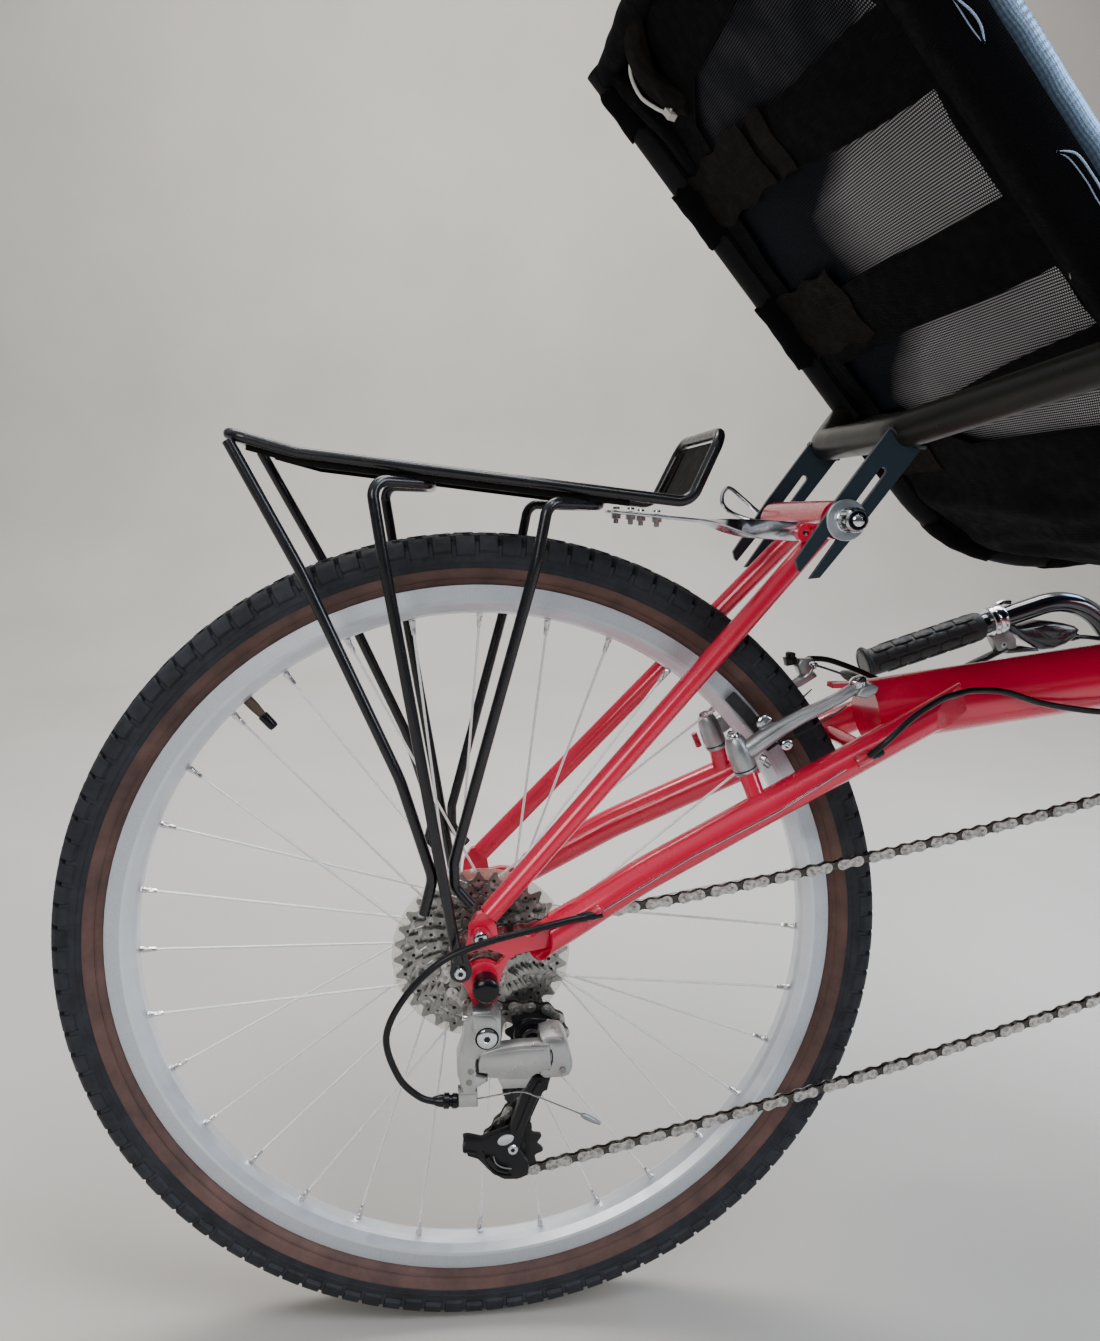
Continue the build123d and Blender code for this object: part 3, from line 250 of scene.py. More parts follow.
LEVER = worn("lever_alloy", (0.012, 0.012, 0.014), (0.035, 0.035, 0.04), 0.16, 0.3, 0.3, 60, 0.08, 500, 0.6, 0.06)
ZIP = worn("zip_tie_nylon", (0.62, 0.61, 0.56), (0.74, 0.73, 0.69), 0.35, 0.5, 0.0, 80, 0.1, 400)
FERRULE_GREY = worn("ferrule_grey", (0.22, 0.24, 0.26), (0.36, 0.38, 0.40), 0.35, 0.5, 0.6, 200, 0.2, 600)
STUB = worn("valve_stub", (0.05, 0.032, 0.022), (0.09, 0.055, 0.036), 0.6, 0.8, 0.0, 200, 0.3, 600)
THREAD = worn("stitch_thread", (0.16, 0.24, 0.40), (0.34, 0.45, 0.62), 0.6, 0.8, 0.0, 900, 0.3, 1500)

# tyre: black tread rubber with dust, and a brown sidewall
TREAD = worn("tyre_tread", (0.008, 0.009, 0.012), (0.022, 0.025, 0.033), 0.5, 0.75, 0.0, 55, 0.45, 700,
             dust=((0.10, 0.105, 0.11), 0.12), detail=8.0)
TREAD.b.inputs["Specular IOR Level"].default_value = 0.35
SIDEWALL = worn("tyre_sidewall", (0.055, 0.029, 0.024), (0.128, 0.064, 0.052), 0.6, 0.82, 0.0, 38, 0.5, 900,
                detail=9.0)


def radial(w, centre):
    """Distance from a wheel's axis, in metres, in the shader."""
    s = w.sep()
    dx = w.math("SUBTRACT", s[0], centre[0])
    dz = w.math("SUBTRACT", s[2], centre[2])
    return w.math("SQRT", w.math("ADD", w.math("MULTIPLY", dx, dx), w.math("MULTIPLY", dz, dz)))


def rim_material(name, centre, r_track, r_out):
    w = M(name)
    r = radial(w, centre)
    track = w.range(r, r_track - 0.0006, r_track + 0.0006, 0, 1)
    n1 = w.noise(30, 6)
    body = w.ramp(n1, [(0.3, (0.70, 0.74, 0.80)), (0.7, (0.82, 0.86, 0.92))])
    brushed = w.ramp(w.noise(900, 2), [(0.2, (0.52, 0.56, 0.61)), (0.8, (0.68, 0.72, 0.78))])
    w.set(Base_Color=w.mix(track, body, brushed), Metallic=0.75,
          Roughness=w.math("ADD", w.range(w.noise(70, 6), 0.3, 0.7, 0.30, 0.42), w.math("MULTIPLY", track, 0.06)))
    wave = w.math("SINE", w.math("MULTIPLY", r, 2 * pi / 0.00055))
    w.bump(w.math("MULTIPLY", wave, track), 0.25, 0.0001)
    return w


REAR_C, FRONT_C = (0.0, 0.0, 0.0), (1016.0, 0.0, -125.2)
RIM_REAR = rim_material("rim_rear", P(*REAR_C), 0.2745, 0.2858)
RIM_FRONT = rim_material("rim_front", P(*FRONT_C), 0.1475, 0.1588)

DISC = M("clear_disc")
DISC.set(Base_Color=DISC.ramp(DISC.noise(60, 6), [(0.3, (0.62, 0.55, 0.38)), (0.7, (0.80, 0.76, 0.64))]),
         Roughness=DISC.range(DISC.noise(150, 6), 0.3, 0.7, 0.2, 0.42), Alpha=0.32)
DISC.b.inputs["Specular IOR Level"].default_value = 0.7


def weave(name, c_thread, c_gap, pitch_u, pitch_v, rough=(0.6, 0.8), alpha=False, bump=0.6, glow=0.0, stagger=True,
          fill=(0.34, 0.30)):
    """Open woven mesh on UVs in metres: rows of short bright threads over dark gaps."""
    w = M(name)
    uv = w.t.nodes.new("ShaderNodeUVMap").outputs["UV"]
    s = w.sep(uv)
    u = w.math("DIVIDE", s[0], pitch_u)
    v = w.math("DIVIDE", s[1], pitch_v)
    row = w.math("FLOOR", v)
    if stagger:
        u = w.math("ADD", u, w.math("MULTIPLY", w.math("MODULO", row, 2.0), 0.5))
    fu = w.math("ABSOLUTE", w.math("SUBTRACT", w.math("FRACT", u), 0.5))
    fv = w.math("ABSOLUTE", w.math("SUBTRACT", w.math("FRACT", v), 0.5))
    inu = w.range(fu, fill[0] + 0.08, fill[0] - 0.04, 0.0, 1.0)
    inv = w.range(fv, fill[1] + 0.08, fill[1] - 0.04, 0.0, 1.0)
    dot = w.math("MULTIPLY", inu, inv)
    big = w.noise(14, 4, 0.6)
    tone = w.range(big, 0.3, 0.7, 0.55, 1.15)
    col = w.mix(dot, c_gap, c_thread)
    col = w.mix(1.0, col, w.ramp(big, [(0.25, (0.55, 0.55, 0.56)), (0.75, (1.0, 1.0, 1.0))]), "MULTIPLY")
    w.set(Base_Color=col, Roughness=w.range(w.noise(400, 4), 0.3, 0.7, *rough))
    w.bump(dot, bump, 0.0004)
    return w


MESH_DARK = weave("sling_mesh_dark", (0.02, 0.022, 0.03), (0.002, 0.002, 0.003), 0.00215, 0.00190, fill=(0.30, 0.27))
MESH_DARK.b.inputs["Specular IOR Level"].default_value = 0.05


def painted_light_weave(name):
    """The seat's open mesh: staggered short threads, with painted light and shade: lit near the right side and dark
    towards the left.
    """
    w = M(name)
    uv = w.t.nodes.new("ShaderNodeUVMap").outputs["UV"]
    s = w.sep(uv)
    pu, pv = 0.00218, 0.00196
    u, v = w.math("DIVIDE", s[0], pu), w.math("DIVIDE", s[1], pv)
    u = w.math("ADD", u, w.math("MULTIPLY", w.math("MODULO", w.math("FLOOR", v), 2.0), 0.5))
    u = w.math("ADD", u, w.range(w.noise(9, 3), 0.0, 1.0, -1.0, 1.0))
    fu = w.math("ABSOLUTE", w.math("SUBTRACT", w.math("FRACT", u), 0.5))
    fv = w.math("ABSOLUTE", w.math("SUBTRACT", w.math("FRACT", v), 0.5))
    dot = w.math("MULTIPLY", w.range(fu, 0.36, 0.22, 0.0, 1.0), w.range(fv, 0.34, 0.20, 0.0, 1.0))
    # where the light ends, as y over s
    edge = w.ramp(w.math("DIVIDE", s[1], 0.85), [
        (0.09, 0.14), (0.17, 0.16), (0.215, 0.33), (0.24, 0.42), (0.262, 0.53), (0.30, 0.54), (0.335, 0.52),
        (0.40, 0.52), (0.425, 0.61), (0.46, 0.68), (0.50, 0.64), (0.54, 0.40)])
    y = w.math("ADD", s[0], w.range(w.noise(26, 5), 0.0, 1.0, -0.014, 0.014))
    d = w.math("SUBTRACT", y, w.math("SUBTRACT", w.math("MULTIPLY", edge, 0.5), 0.25))
    lit = w.range(d, -0.028, 0.034, 1.0, 0.0)
    # painted shade in the upper window, with a few brighter painted places along its lower edge
    patch = w.math("MULTIPLY", w.range(w.noise(24, 3, 0.5), 0.40, 0.70, 0.035, 0.16), w.range(s[1], 0.16, 0.175, 1.0, 0.0))
    lit = w.math("MAXIMUM", lit, patch)
    fade = w.range(w.noise(8, 4), 0.3, 0.7, 0.66, 1.0)
    thread = w.mix(lit, (0.016, 0.021, 0.034), (0.46, 0.445, 0.45))
    thread = w.mix(1.0, thread, w.ramp(fade, [(0.6, (0.60, 0.60, 0.62)), (1.0, (1.0, 1.0, 1.0))]), "MULTIPLY")
    # painted light: the lit threads also glow a little by emission
    w.set(Base_Color=w.mix(dot, (0.0015, 0.0015, 0.0025), thread), Roughness=w.range(w.noise(400, 4), 0.3, 0.7, 0.6, 0.8),
          Emission_Color=(0.78, 0.75, 0.76), Emission_Strength=w.math("MULTIPLY", w.math("MULTIPLY", dot, lit), 0.12))
    w.b.inputs["Specular IOR Level"].default_value = 0.03
    w.bump(dot, 0.6, 0.0004)
    return w


PAINTED_LIGHT_MESH = painted_light_weave("seat_mesh_painted_light")
FRONT_MESH = weave("seat_mesh_front", (0.085, 0.087, 0.095), (0.004, 0.004, 0.005), 0.00218, 0.00196, fill=(0.30, 0.27))
FRONT_MESH.b.inputs["Specular IOR Level"].default_value = 0.08


def webbing(name, c0, c1, rib, axis=0, rough=(0.62, 0.85), bump=0.5, sheen=0.25):
    """Ribbed strap cloth on UVs in metres."""
    w = M(name)
    uv = w.t.nodes.new("ShaderNodeUVMap").outputs["UV"]
    s = w.sep(uv)
    wv = w.math("SINE", w.math("MULTIPLY", s[axis], 2 * pi / rib))
    cross = w.math("SINE", w.math("MULTIPLY", s[1 - axis], 2 * pi / (rib * 0.6)))
    h = w.math("ADD", w.math("MULTIPLY", wv, 0.7), w.math("MULTIPLY", cross, 0.3))
    n = w.noise(22, 6)
    col = w.ramp(n, [(0.3, c0), (0.7, c1)])
    # painted shade: the grooves between the ribs are darker than the crests
    col = w.mix(w.range(h, -1, 1, 0.0, 0.45), col, (c1[0] * 1.9, c1[1] * 1.9, c1[2] * 1.95))
    lint = w.range(w.noise(420, 9, 0.75), 0.72, 0.78, 0.0, 0.20)
    col = w.mix(lint, col, (0.06, 0.06, 0.065))
    w.set(Base_Color=col, Roughness=w.range(w.noise(90, 5), 0.3, 0.7, *rough))
    w.b.inputs["Sheen Weight"].default_value = sheen
    w.b.inputs["Sheen Roughness"].default_value = 0.45
    w.bump(h, bump, 0.0004)
    w.bump(w.noise(60, 5), 0.25, 0.002)
    return w


STRAP = webbing("seat_strap", (0.0018, 0.0018, 0.0022), (0.0034, 0.0034, 0.0044), 0.0016, 1, sheen=0.0)
STRAP.b.inputs["Specular IOR Level"].default_value = 0.03
SLEEVE = webbing("seat_sleeve", (0.0022, 0.0022, 0.0030), (0.0038, 0.0040, 0.0056), 0.0042, 1, (0.32, 0.40), 0.30, 0.0)
su = SLEEVE.sep(SLEEVE.t.nodes.new("ShaderNodeUVMap").outputs["UV"])
rib_ = SLEEVE.math("SINE", SLEEVE.math("MULTIPLY", su[1], 2 * pi / 0.0042))
along = SLEEVE.math("ADD", su[0], SLEEVE.math("MULTIPLY", rib_, 0.0012))
SLEEVE.set(Roughness=SLEEVE.range(along, 0.049, 0.064, 0.33, 0.90))
SLEEVE.b.inputs["Specular IOR Level"].default_value = 0.62
# painted sheen colour: the blue tint on the sleeve's reflections stands in for the blue light they catch
SLEEVE.b.inputs["Specular Tint"].default_value = (0.42, 0.68, 1.0, 1.0)
SLEEVE_BROWN = webbing("seat_sleeve_worn", (0.0036, 0.0031, 0.0027), (0.0090, 0.0074, 0.0062), 0.0018, 1, sheen=0.0)
SLEEVE_BROWN.b.inputs["Specular IOR Level"].default_value = 0.04
THREAD_WHITE = worn("loose_thread", (0.42, 0.42, 0.40), (0.66, 0.66, 0.62), 0.6, 0.8, 0.0, 900, 0.3, 1500)
GRIP_MAT = worn("grip_rubber", (0.006, 0.006, 0.007), (0.014, 0.014, 0.016), 0.5, 0.68, 0.0, 70, 0.35, 700)

# ---------------------------------------------------------------------------
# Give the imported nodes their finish
# ---------------------------------------------------------------------------
LOOK = {
    RED: "main_tube chain_stays brake_posts stay_bridge seat_stays dropouts seat_cross_tube head_tube boom "
         "bottom_bracket_shell bar_pivot_housing fork_steerer fork_legs",
    BLACK_ALLOY: "headset_cups boom_clamp fork_arm bar_stem",
    SEAT_TUBE: "seat_side_tubes seat_cross_bars",
    HOOP: "seat_hoop", PLATE: "seat_plates seat_clamp", CHROME: "seat_skewer",
    RACK: "rack_rails rack_legs", RACK_FLAT: "rack_plates", POLISHED: "rack_struts tie_rod",
    BRAKE: "rear_brake_arms front_brake", RUBBER: "rear_brake_pads",
    SILVER: "rear_derailleur rear_hub front_hub", BLACK_STEEL: "derailleur_cage",
    PLASTIC: "jockey_wheels pedal_right pedal_left", DARK_STEEL: "rear_axle front_axle",
    CABLE: "cables", SPOKE: "rear_spokes front_spokes", TREAD: "rear_tyre front_tyre",
    RIM_REAR: "rear_rim", RIM_FRONT: "front_rim", DISC: "spoke_protector", CASSETTE: "cassette",
    BAR: "handlebar", GRIP_MAT: "grips", LEVER: "brake_levers", CRANK: "crankset crank_arm_left",
    MESH_DARK: "seat_sling", CHAIN_IN: "chain_upper chain_lower chain_ring_wrap chain_cog_loop",
}
for mat, names in LOOK.items():
    for name in names.split():
        o = nodes[name]
        o.data.materials.clear()
        o.data.materials.append(mat.m)

# ---------------------------------------------------------------------------
# Mesh helpers (all coordinates in hub-frame mm, converted at the end)
# ---------------------------------------------------------------------------
class Piece:
    """Collects faces in hub-frame mm and becomes one object."""

    def __init__(self, name, body, slot, mats, smooth=30):
        self.name, self.body, self.slot, self.mats, self.smooth = name, body, slot, mats, smooth
        self.v, self.f, self.mi, self.uv = [], [], [], []

    def add(self, verts, faces, mat=0, uvs=None):
        k = len(self.v)
        self.v += [tuple(v) for v in verts]
        self.f += [tuple(i + k for i in f) for f in faces]
        self.mi += [mat] * len(faces)
        self.uv += list(uvs) if uvs else [(0.0, 0.0)] * len(verts)

    def build(self, weld=True, replaces=(), subsurf=0, bevel=0.0):
        me = bpy.data.meshes.new(self.name)
        me.from_pydata([tuple(PV(v)) for v in self.v], [], self.f)
        uvl = me.uv_layers.new(name="UVMap")
        for lo in me.loops:
            uvl.data[lo.index].uv = self.uv[lo.vertex_index]
        for mt in self.mats:
            me.materials.append(mt.m)
        me.polygons.foreach_set("material_index", self.mi)
        me.update()
        bm = bmesh.new()
        bm.from_mesh(me)
        if weld:
            bmesh.ops.remove_doubles(bm, verts=bm.verts, dist=2e-6)
        bmesh.ops.recalc_face_normals(bm, faces=bm.faces)
        bm.to_mesh(me)
        bm.free()
        o = bpy.data.objects.new(self.name, me)
        bpy.context.scene.collection.objects.link(o)
        if bevel:
            md = o.modifiers.new("bevel", "BEVEL")
            md.width = bevel / 1000
            md.segments = 2
            md.limit_method = "ANGLE"
            md.angle_limit = radians(35)
            md.harden_normals = False
        if subsurf:
            md = o.modifiers.new("sub", "SUBSURF")
            md.levels = md.render_levels = subsurf
        if bevel or subsurf:
            dg = bpy.context.evaluated_depsgraph_get()
            new = bpy.data.meshes.new_from_object(o.evaluated_get(dg))
            o.modifiers.clear()
            o.data = new
        me = o.data
        for p in me.polygons:
            p.use_smooth = True
        try:
            me.set_sharp_from_angle(angle=radians(self.smooth))
        except Exception:
            pass
        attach(o, self.body)
        if replaces:
            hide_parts(*replaces)
        return o


def basis(d):
    d = Vector(d).normalized()
    a = Vector((0, 0, 1)) if abs(d.z) < 0.9 else Vector((1, 0, 0))
    x = a.cross(d).normalized()
    return x, d.cross(x), d


def tube(pc, pts, r, n=12, mat=0, caps=True, rs=None, closed=False, uvs=False):
    """Round tube along points, with its frame carried along smoothly."""
    pts = [Vector(p) for p in pts]
    k = len(pts)
    dirs = []
    for i in range(k):
        if closed:
            d = pts[(i + 1) % k] - pts[i - 1]
        else:
            d = pts[min(i + 1, k - 1)] - pts[max(i - 1, 0)]
        dirs.append(d.normalized())
    x, y, _ = basis(dirs[0])
    verts, faces, uv = [], [], []
    run = 0.0
    for i in range(k):
        if i:
            run += (pts[i] - pts[i - 1]).length
            ax = dirs[i - 1].cross(dirs[i])
            if ax.length > 1e-9:
                q = Matrix.Rotation(dirs[i - 1].angle(dirs[i]), 3, ax.normalized())
                x = q @ x
        x = (x - dirs[i] * x.dot(dirs[i])).normalized()
        y = dirs[i].cross(x)
        rr = rs[i] if rs else r
        for j in range(n):
            a = 2 * pi * j / n
            verts.append(pts[i] + x * rr * cos(a) + y * rr * sin(a))
            uv.append((j / n * 2 * pi * rr / 1000, run / 1000))
    seg = k if closed else k - 1
    for i in range(seg):
        for j in range(n):
            a, b = i * n + j, i * n + (j + 1) % n
            c, d = ((i + 1) % k) * n + (j + 1) % n, ((i + 1) % k) * n + j
            faces.append((a, b, c, d))
    if caps and not closed:
        faces.append(tuple(reversed(range(n))))
        faces.append(tuple((k - 1) * n + j for j in range(n)))
    pc.add(verts, faces, mat, uv)


def lathe(pc, origin, axis, profile, n=24, mat=0, start=0.0):
    """Turned shape: profile is (distance along the axis, radius)."""
    x, y, d = basis(axis)
    o = Vector(origin)
    verts, faces = [], []
    for t, r in profile:
        for j in range(n):
            a = start + 2 * pi * j / n
            verts.append(o + d * t + (x * cos(a) + y * sin(a)) * max(r, 0.001))
    k = len(profile)
    for i in range(k - 1):
        for j in range(n):
            faces.append((i * n + j, i * n + (j + 1) % n, (i + 1) * n + (j + 1) % n, (i + 1) * n + j))
    faces.append(tuple(reversed(range(n))))
    faces.append(tuple((k - 1) * n + j for j in range(n)))
    pc.add(verts, faces, mat)


def plate(pc, outline, y0, y1, mat=0, at=None):
    """Flat outline in (x, z) given thickness from y0 to y1; at maps (x, y, z) to a point."""
    at = at or (lambda x, y, z: (x, y, z))
    k = len(outline)
    verts = [at(x, y0, z) for x, z in outline] + [at(x, y1, z) for x, z in outline]
    faces = [tuple(range(k)), tuple(reversed(range(k, 2 * k)))]
    faces += [(i, (i + 1) % k, k + (i + 1) % k, k + i) for i in range(k)]
    pc.add(verts, faces, mat)


def ring_plate(pc, outer, inner, y0, y1, mat=0):
    """Flat ring between two (x, z) outlines of the same count."""
    k = len(outer)
    verts = [(x, y0, z) for x, z in outer] + [(x, y0, z) for x, z in inner] \
        + [(x, y1, z) for x, z in outer] + [(x, y1, z) for x, z in inner]
    faces = []
    for i in range(k):
        j = (i + 1) % k
        faces += [(i, j, k + j, k + i), (2 * k + i, 3 * k + i, 3 * k + j, 2 * k + j),
                  (i, 2 * k + i, 2 * k + j, j), (k + i, k + j, 3 * k + j, 3 * k + i)]
    pc.add(verts, faces, mat)


def hexhead(pc, p, d, r, h, mat=0, socket=0.0):
    """Button or cap bolt head with a hexagon socket."""
    prof = [(0, r), (h * 0.7, r), (h, r * 0.82)]
    if socket:
        prof += [(h, socket), (h * 0.35, socket), (h * 0.35, 0.05)]
    else:
        prof += [(h, 0.05)]
    lathe(pc, p, d, prof, 18, mat)


def pol(c, r, deg):
    return (c[0] + r * cos(radians(deg)), c[1] + r * sin(radians(deg)))


def smooth_line(pts, n=8, closed=False):
    """Catmull-Rom through points."""
    pts = [Vector(p) for p in pts]
    out = []
    k = len(pts)
    rng = range(k if closed else k - 1)
    for i in rng:
        p0 = pts[i - 1] if (i > 0 or closed) else pts[0]
        p1, p2 = pts[i], pts[(i + 1) % k]
        p3 = pts[(i + 2) % k] if (closed or i + 2 < k) else pts[-1]
        for j in range(n):
            t = j / n
            out.append(0.5 * ((2 * p1) + (p2 - p0) * t + (2 * p0 - 5 * p1 + 4 * p2 - p3) * t * t
                              + (3 * p1 - p0 - 3 * p2 + p3) * t ** 3))
    if not closed:
        out.append(pts[-1])
    return out


# ---------------------------------------------------------------------------
# Tyres: carcass, tread blocks, shoulder lugs
# ---------------------------------------------------------------------------
def make_tyre(name, body, c, r_out, half_w, r_rim, count, replaces):
    pc = Piece(name, body, "tyre", [TREAD, SIDEWALL], 40)
    rt = r_out - 3.6                                  # base of the tread
    h = r_out - r_rim
    ys = half_w / 24.0
    prof = [(r_rim - 5.5, 9.6, 1), (r_rim - 0.6, 10.3, 1), (r_rim + 1.0, 12.6 * ys, 1), (r_rim + 3.2, 15.6 * ys, 1),
            (r_rim + h * 0.20, 19.0 * ys, 1), (r_rim + h * 0.335, 21.6 * ys, 1), (r_rim + h * 0.345, 21.9 * ys, 0),
            (r_rim + h * 0.45, 22.6 * ys, 0), (r_rim + h * 0.58, 22.4 * ys, 0), (rt - 7.0, 20.6 * ys, 0),
            (rt - 3.5, 16.5 * ys, 0), (rt - 1.2, 10.5 * ys, 0), (rt, 0.0, 0)]
    full = prof + [(r, -y, mt) for r, y, mt in reversed(prof[:-1])]
    n = 240
    verts, uvs = [], []
    k = len(full)
    for i in range(n):
        a = 2 * pi * i / n
        for r, y, mt in full:
            verts.append((c[0] + r * cos(a), c[1] - y, c[2] + r * sin(a)))
            uvs.append((r * a / 1000, y / 1000))
    for i in range(n):
        j2 = (i + 1) % n
        for q in range(k - 1):
            mt = 1 if (full[q][2] == 1 and full[q + 1][2] == 1) else 0
            pc.add([verts[i * k + q], verts[i * k + q + 1], verts[j2 * k + q + 1], verts[j2 * k + q]], [(0, 1, 2, 3)], mt,
                   [uvs[i * k + q], uvs[i * k + q + 1], uvs[j2 * k + q + 1], uvs[j2 * k + q]])
    # inner face between the beads
    for i in range(n):
        j2 = (i + 1) % n
        pc.add([verts[i * k + k - 1], verts[i * k], verts[j2 * k], verts[j2 * k + k - 1]], [(0, 1, 2, 3)], 0)

    def block(a0, a1, pts, base, draft=0.10, skew=0.0):
        """Tread block between two angles, its outer line given as (radius, y) points, sunk by base below them."""
        am = (a0 + a1) / 2
        rows = []
        for t, (r, y) in enumerate(pts):
            sk = skew * t / max(len(pts) - 1, 1)
            for a, lift in ((a0, 0), (a0 + (am - a0) * draft, 1), (a1 + (am - a1) * draft, 1), (a1, 0)):
                rr, yy = (r, y) if lift else (r - base, y * (1 - 0.8 * base / abs(y)) if abs(y) > 17 else y)
                rows.append((c[0] + rr * cos(a + sk), c[1] + yy, c[2] + rr * sin(a + sk)))
        m_ = len(pts)
        faces = []
        for t in range(m_ - 1):
            o = t * 4
            faces += [(o, o + 1, o + 5, o + 4), (o + 1, o + 2, o + 6, o + 5), (o + 2, o + 3, o + 7, o + 6),
                      (o + 3, o, o + 4, o + 7)]
        e = (m_ - 1) * 4
        faces += [(0, 3, 2, 1), (e, e + 1, e + 2, e + 3)]
        pc.add(rows, faces, 0)

    step = 2 * pi / count
    for i in range(count):
        a = i * step
        jt = 0.02 * step * sin(i * 2.3)
        # centre: a wide block and a divided one in turn
        if i % 2 == 0:
            block(a - 0.40 * step + jt, a + 0.40 * step + jt, [(r_out - 0.3, -5.0), (r_out - 0.15, 0.0), (r_out - 0.3, 5.0)],
                  4.0, skew=0.10 * step)
        else:
            for s in (-1, 1):
                block(a - 0.40 * step, a + 0.36 * step, [(r_out - 0.35, s * 1.3), (r_out - 0.8, s * 7.8)], 4.0,
                      skew=0.10 * step)
        for s in (-1, 1):
            # middle row, half a pitch on
            block(a + 0.12 * step, a + 0.88 * step, [(r_out - 0.9, s * 8.9 * ys), (r_out - 2.1, s * 14.6 * ys)], 4.2,
                  skew=-0.12 * step)
            # shoulder lugs nearly closed, long and short notches in turn
            lo = 15.5 if i % 2 == 0 else 12.6
            wide = 0.415 if i % 2 == 0 else 0.40
            block(a - wide * step, a + wide * step,
                  [(r_out - 2.4, s * (half_w - 8.6)), (r_out - 4.2, s * (half_w - 4.0)), (r_out - 8.0, s * (half_w - 0.6)),
                   (r_out - lo, s * (half_w - 0.15))], 2.6, draft=0.06)
            # small low rib between two lugs
            block(a + 0.40 * step, a + 0.60 * step,
                  [(r_out - 9.5, s * (half_w - 1.0)), (r_out - 17.5, s * (half_w - 0.9))], 1.6, draft=0.1)
    # moulding lines on the sidewall
    for f, yy in ((0.12, 17.3 * ys), (0.34, 21.75 * ys), (0.44, 22.5 * ys)):
        rr = r_rim + h * f
        for s in (-1, 1):
            tube(pc, [(c[0] + rr * cos(2 * pi * i / 180), c[1] + s * yy, c[2] + rr * sin(2 * pi * i / 180))
                      for i in range(180)], 0.38, 5, 1 if f < 0.3 else 0, closed=True)
    return pc.build(weld=False, replaces=replaces)


make_tyre("rear_tyre_knobby", "rear_wheel", REAR_C, 324.7, 24.0, 285.8, 116, ("rear_tyre",))
make_tyre("front_tyre_knobby", "front_wheel", FRONT_C, 199.5, 23.0, 158.8, 70, ("front_tyre",))


# ---------------------------------------------------------------------------
# Wheels: nipples, spoke heads, rim details, valve
# ---------------------------------------------------------------------------
# name, body, centre, spokes, first nipple angle, rim inner radius, left y, right y, hole radius, lead, step
WHEELS = [("rear_wheel_fittings", "rear_wheel", REAR_C, 32, 1.0, 264.0, 34.0, -21.0, 20.0, 67.5, 3.2),
          ("front_wheel_fittings", "front_wheel", FRONT_C, 28, 6.4, 139.0, 34.0, -34.0, 16.5, 51.4, 3.8)]
for name, body, c, count, first, r_in, y_l, y_r, hole_r, lead, step in WHEELS:
    pc = Piece(name, body, "spoke_steel", [NIPPLE, SPOKE, CAP_BLACK, STUB], 40)
    for i in range(count):
        side = 1 if i % 2 == 0 else -1
        y = y_l if side > 0 else y_r
        turn = 1 if (i // 2) % 2 == 0 else -1
        a = first + 360.0 / count * i
        hx, hz = pol((c[0], c[2]), hole_r, a + turn * lead)
        rx, rz = pol((c[0], c[2]), r_in - 0.35, a)
        hub_end = Vector((hx, y + side * turn * step, hz))
        rim_end = Vector((rx, side * 3.0, rz))
        d = (rim_end - hub_end).normalized()
        # nipple: square part, shoulder, round
        p = rim_end - d * 12.0
        lathe(pc, p, d, [(0, 1.35), (0.8, 1.75), (4.0, 1.85), (4.2, 2.05), (8.0, 2.05), (8.6, 2.5), (11.8, 2.6)], 8, 0)
        # bend and head through the flange
        out = Vector((0, side * turn, 0))
        tube(pc, [hub_end + d * 4, hub_end + d * 1.2, hub_end - out * 1.0, hub_end - out * (step + 1.4)], 1.0, 8, 1)
        lathe(pc, hub_end - out * (step + 1.2), -out, [(0, 2.0), (0.5, 2.1), (1.0, 1.6), (1.2, 0.4)], 10, 1)
    # valve
    va = 132.5 if name.startswith("rear") else 100.0
    vx, vz = pol((0, 0), 1.0, va)
    d = Vector((-vx, 0, -vz))
    p = Vector(c) + Vector((vx, 0, vz)) * (r_in + 1)
    lathe(pc, p, d, [(0, 4.0), (2, 4.0), (8, 3.9), (17, 3.0), (18, 2.7)], 14, 3)
    lathe(pc, p + d * 17, d, [(0, 3.9), (1, 4.1), (11, 3.9), (13, 3.2), (13.5, 0.5)], 14, 2)
    pc.build(weld=False)


# ---------------------------------------------------------------------------
# Sprockets, chainrings and jockey wheels with real teeth
# ---------------------------------------------------------------------------
def tooth_outline(c, teeth, pitch_r, phase=0.0, top=2.6, root=4.1, wide=0.30):
    """(x, z) outline: six points a tooth."""
    out = []
    for t in range(teeth):
        a0 = phase + 360.0 / teeth * t
        s = 360.0 / teeth
        for f, r in ((-0.5, pitch_r - root), (-0.36, pitch_r - root + 0.5), (-0.20, pitch_r - 0.6), (-0.07, pitch_r + top),
                     (0.07, pitch_r + top), (0.20, pitch_r - 0.6), (0.36, pitch_r - root + 0.5)):
            out.append(pol(c, r, a0 + s * f))
    return out


def circle_of(c, r, k, phase=0.0):
    return [pol(c, r, phase + 360.0 / k * i) for i in range(k)]


def sprocket(pc, c, teeth, y, thick, r_in, phase=0.0, mat=0, holes=0, hole_r=0.0, hole_at=0.0):
    pr = 6.35 / sin(pi / teeth)
    outer = tooth_outline(c, teeth, pr, phase)
    k = len(outer)
    first = phase - 0.5 * 360.0 / teeth
    inner = [pol(c, r_in, degrees(atan2(z - c[1], x - c[0]))) for x, z in outer]
    ring_plate(pc, outer, inner, y - thick / 2, y + thick / 2, mat)


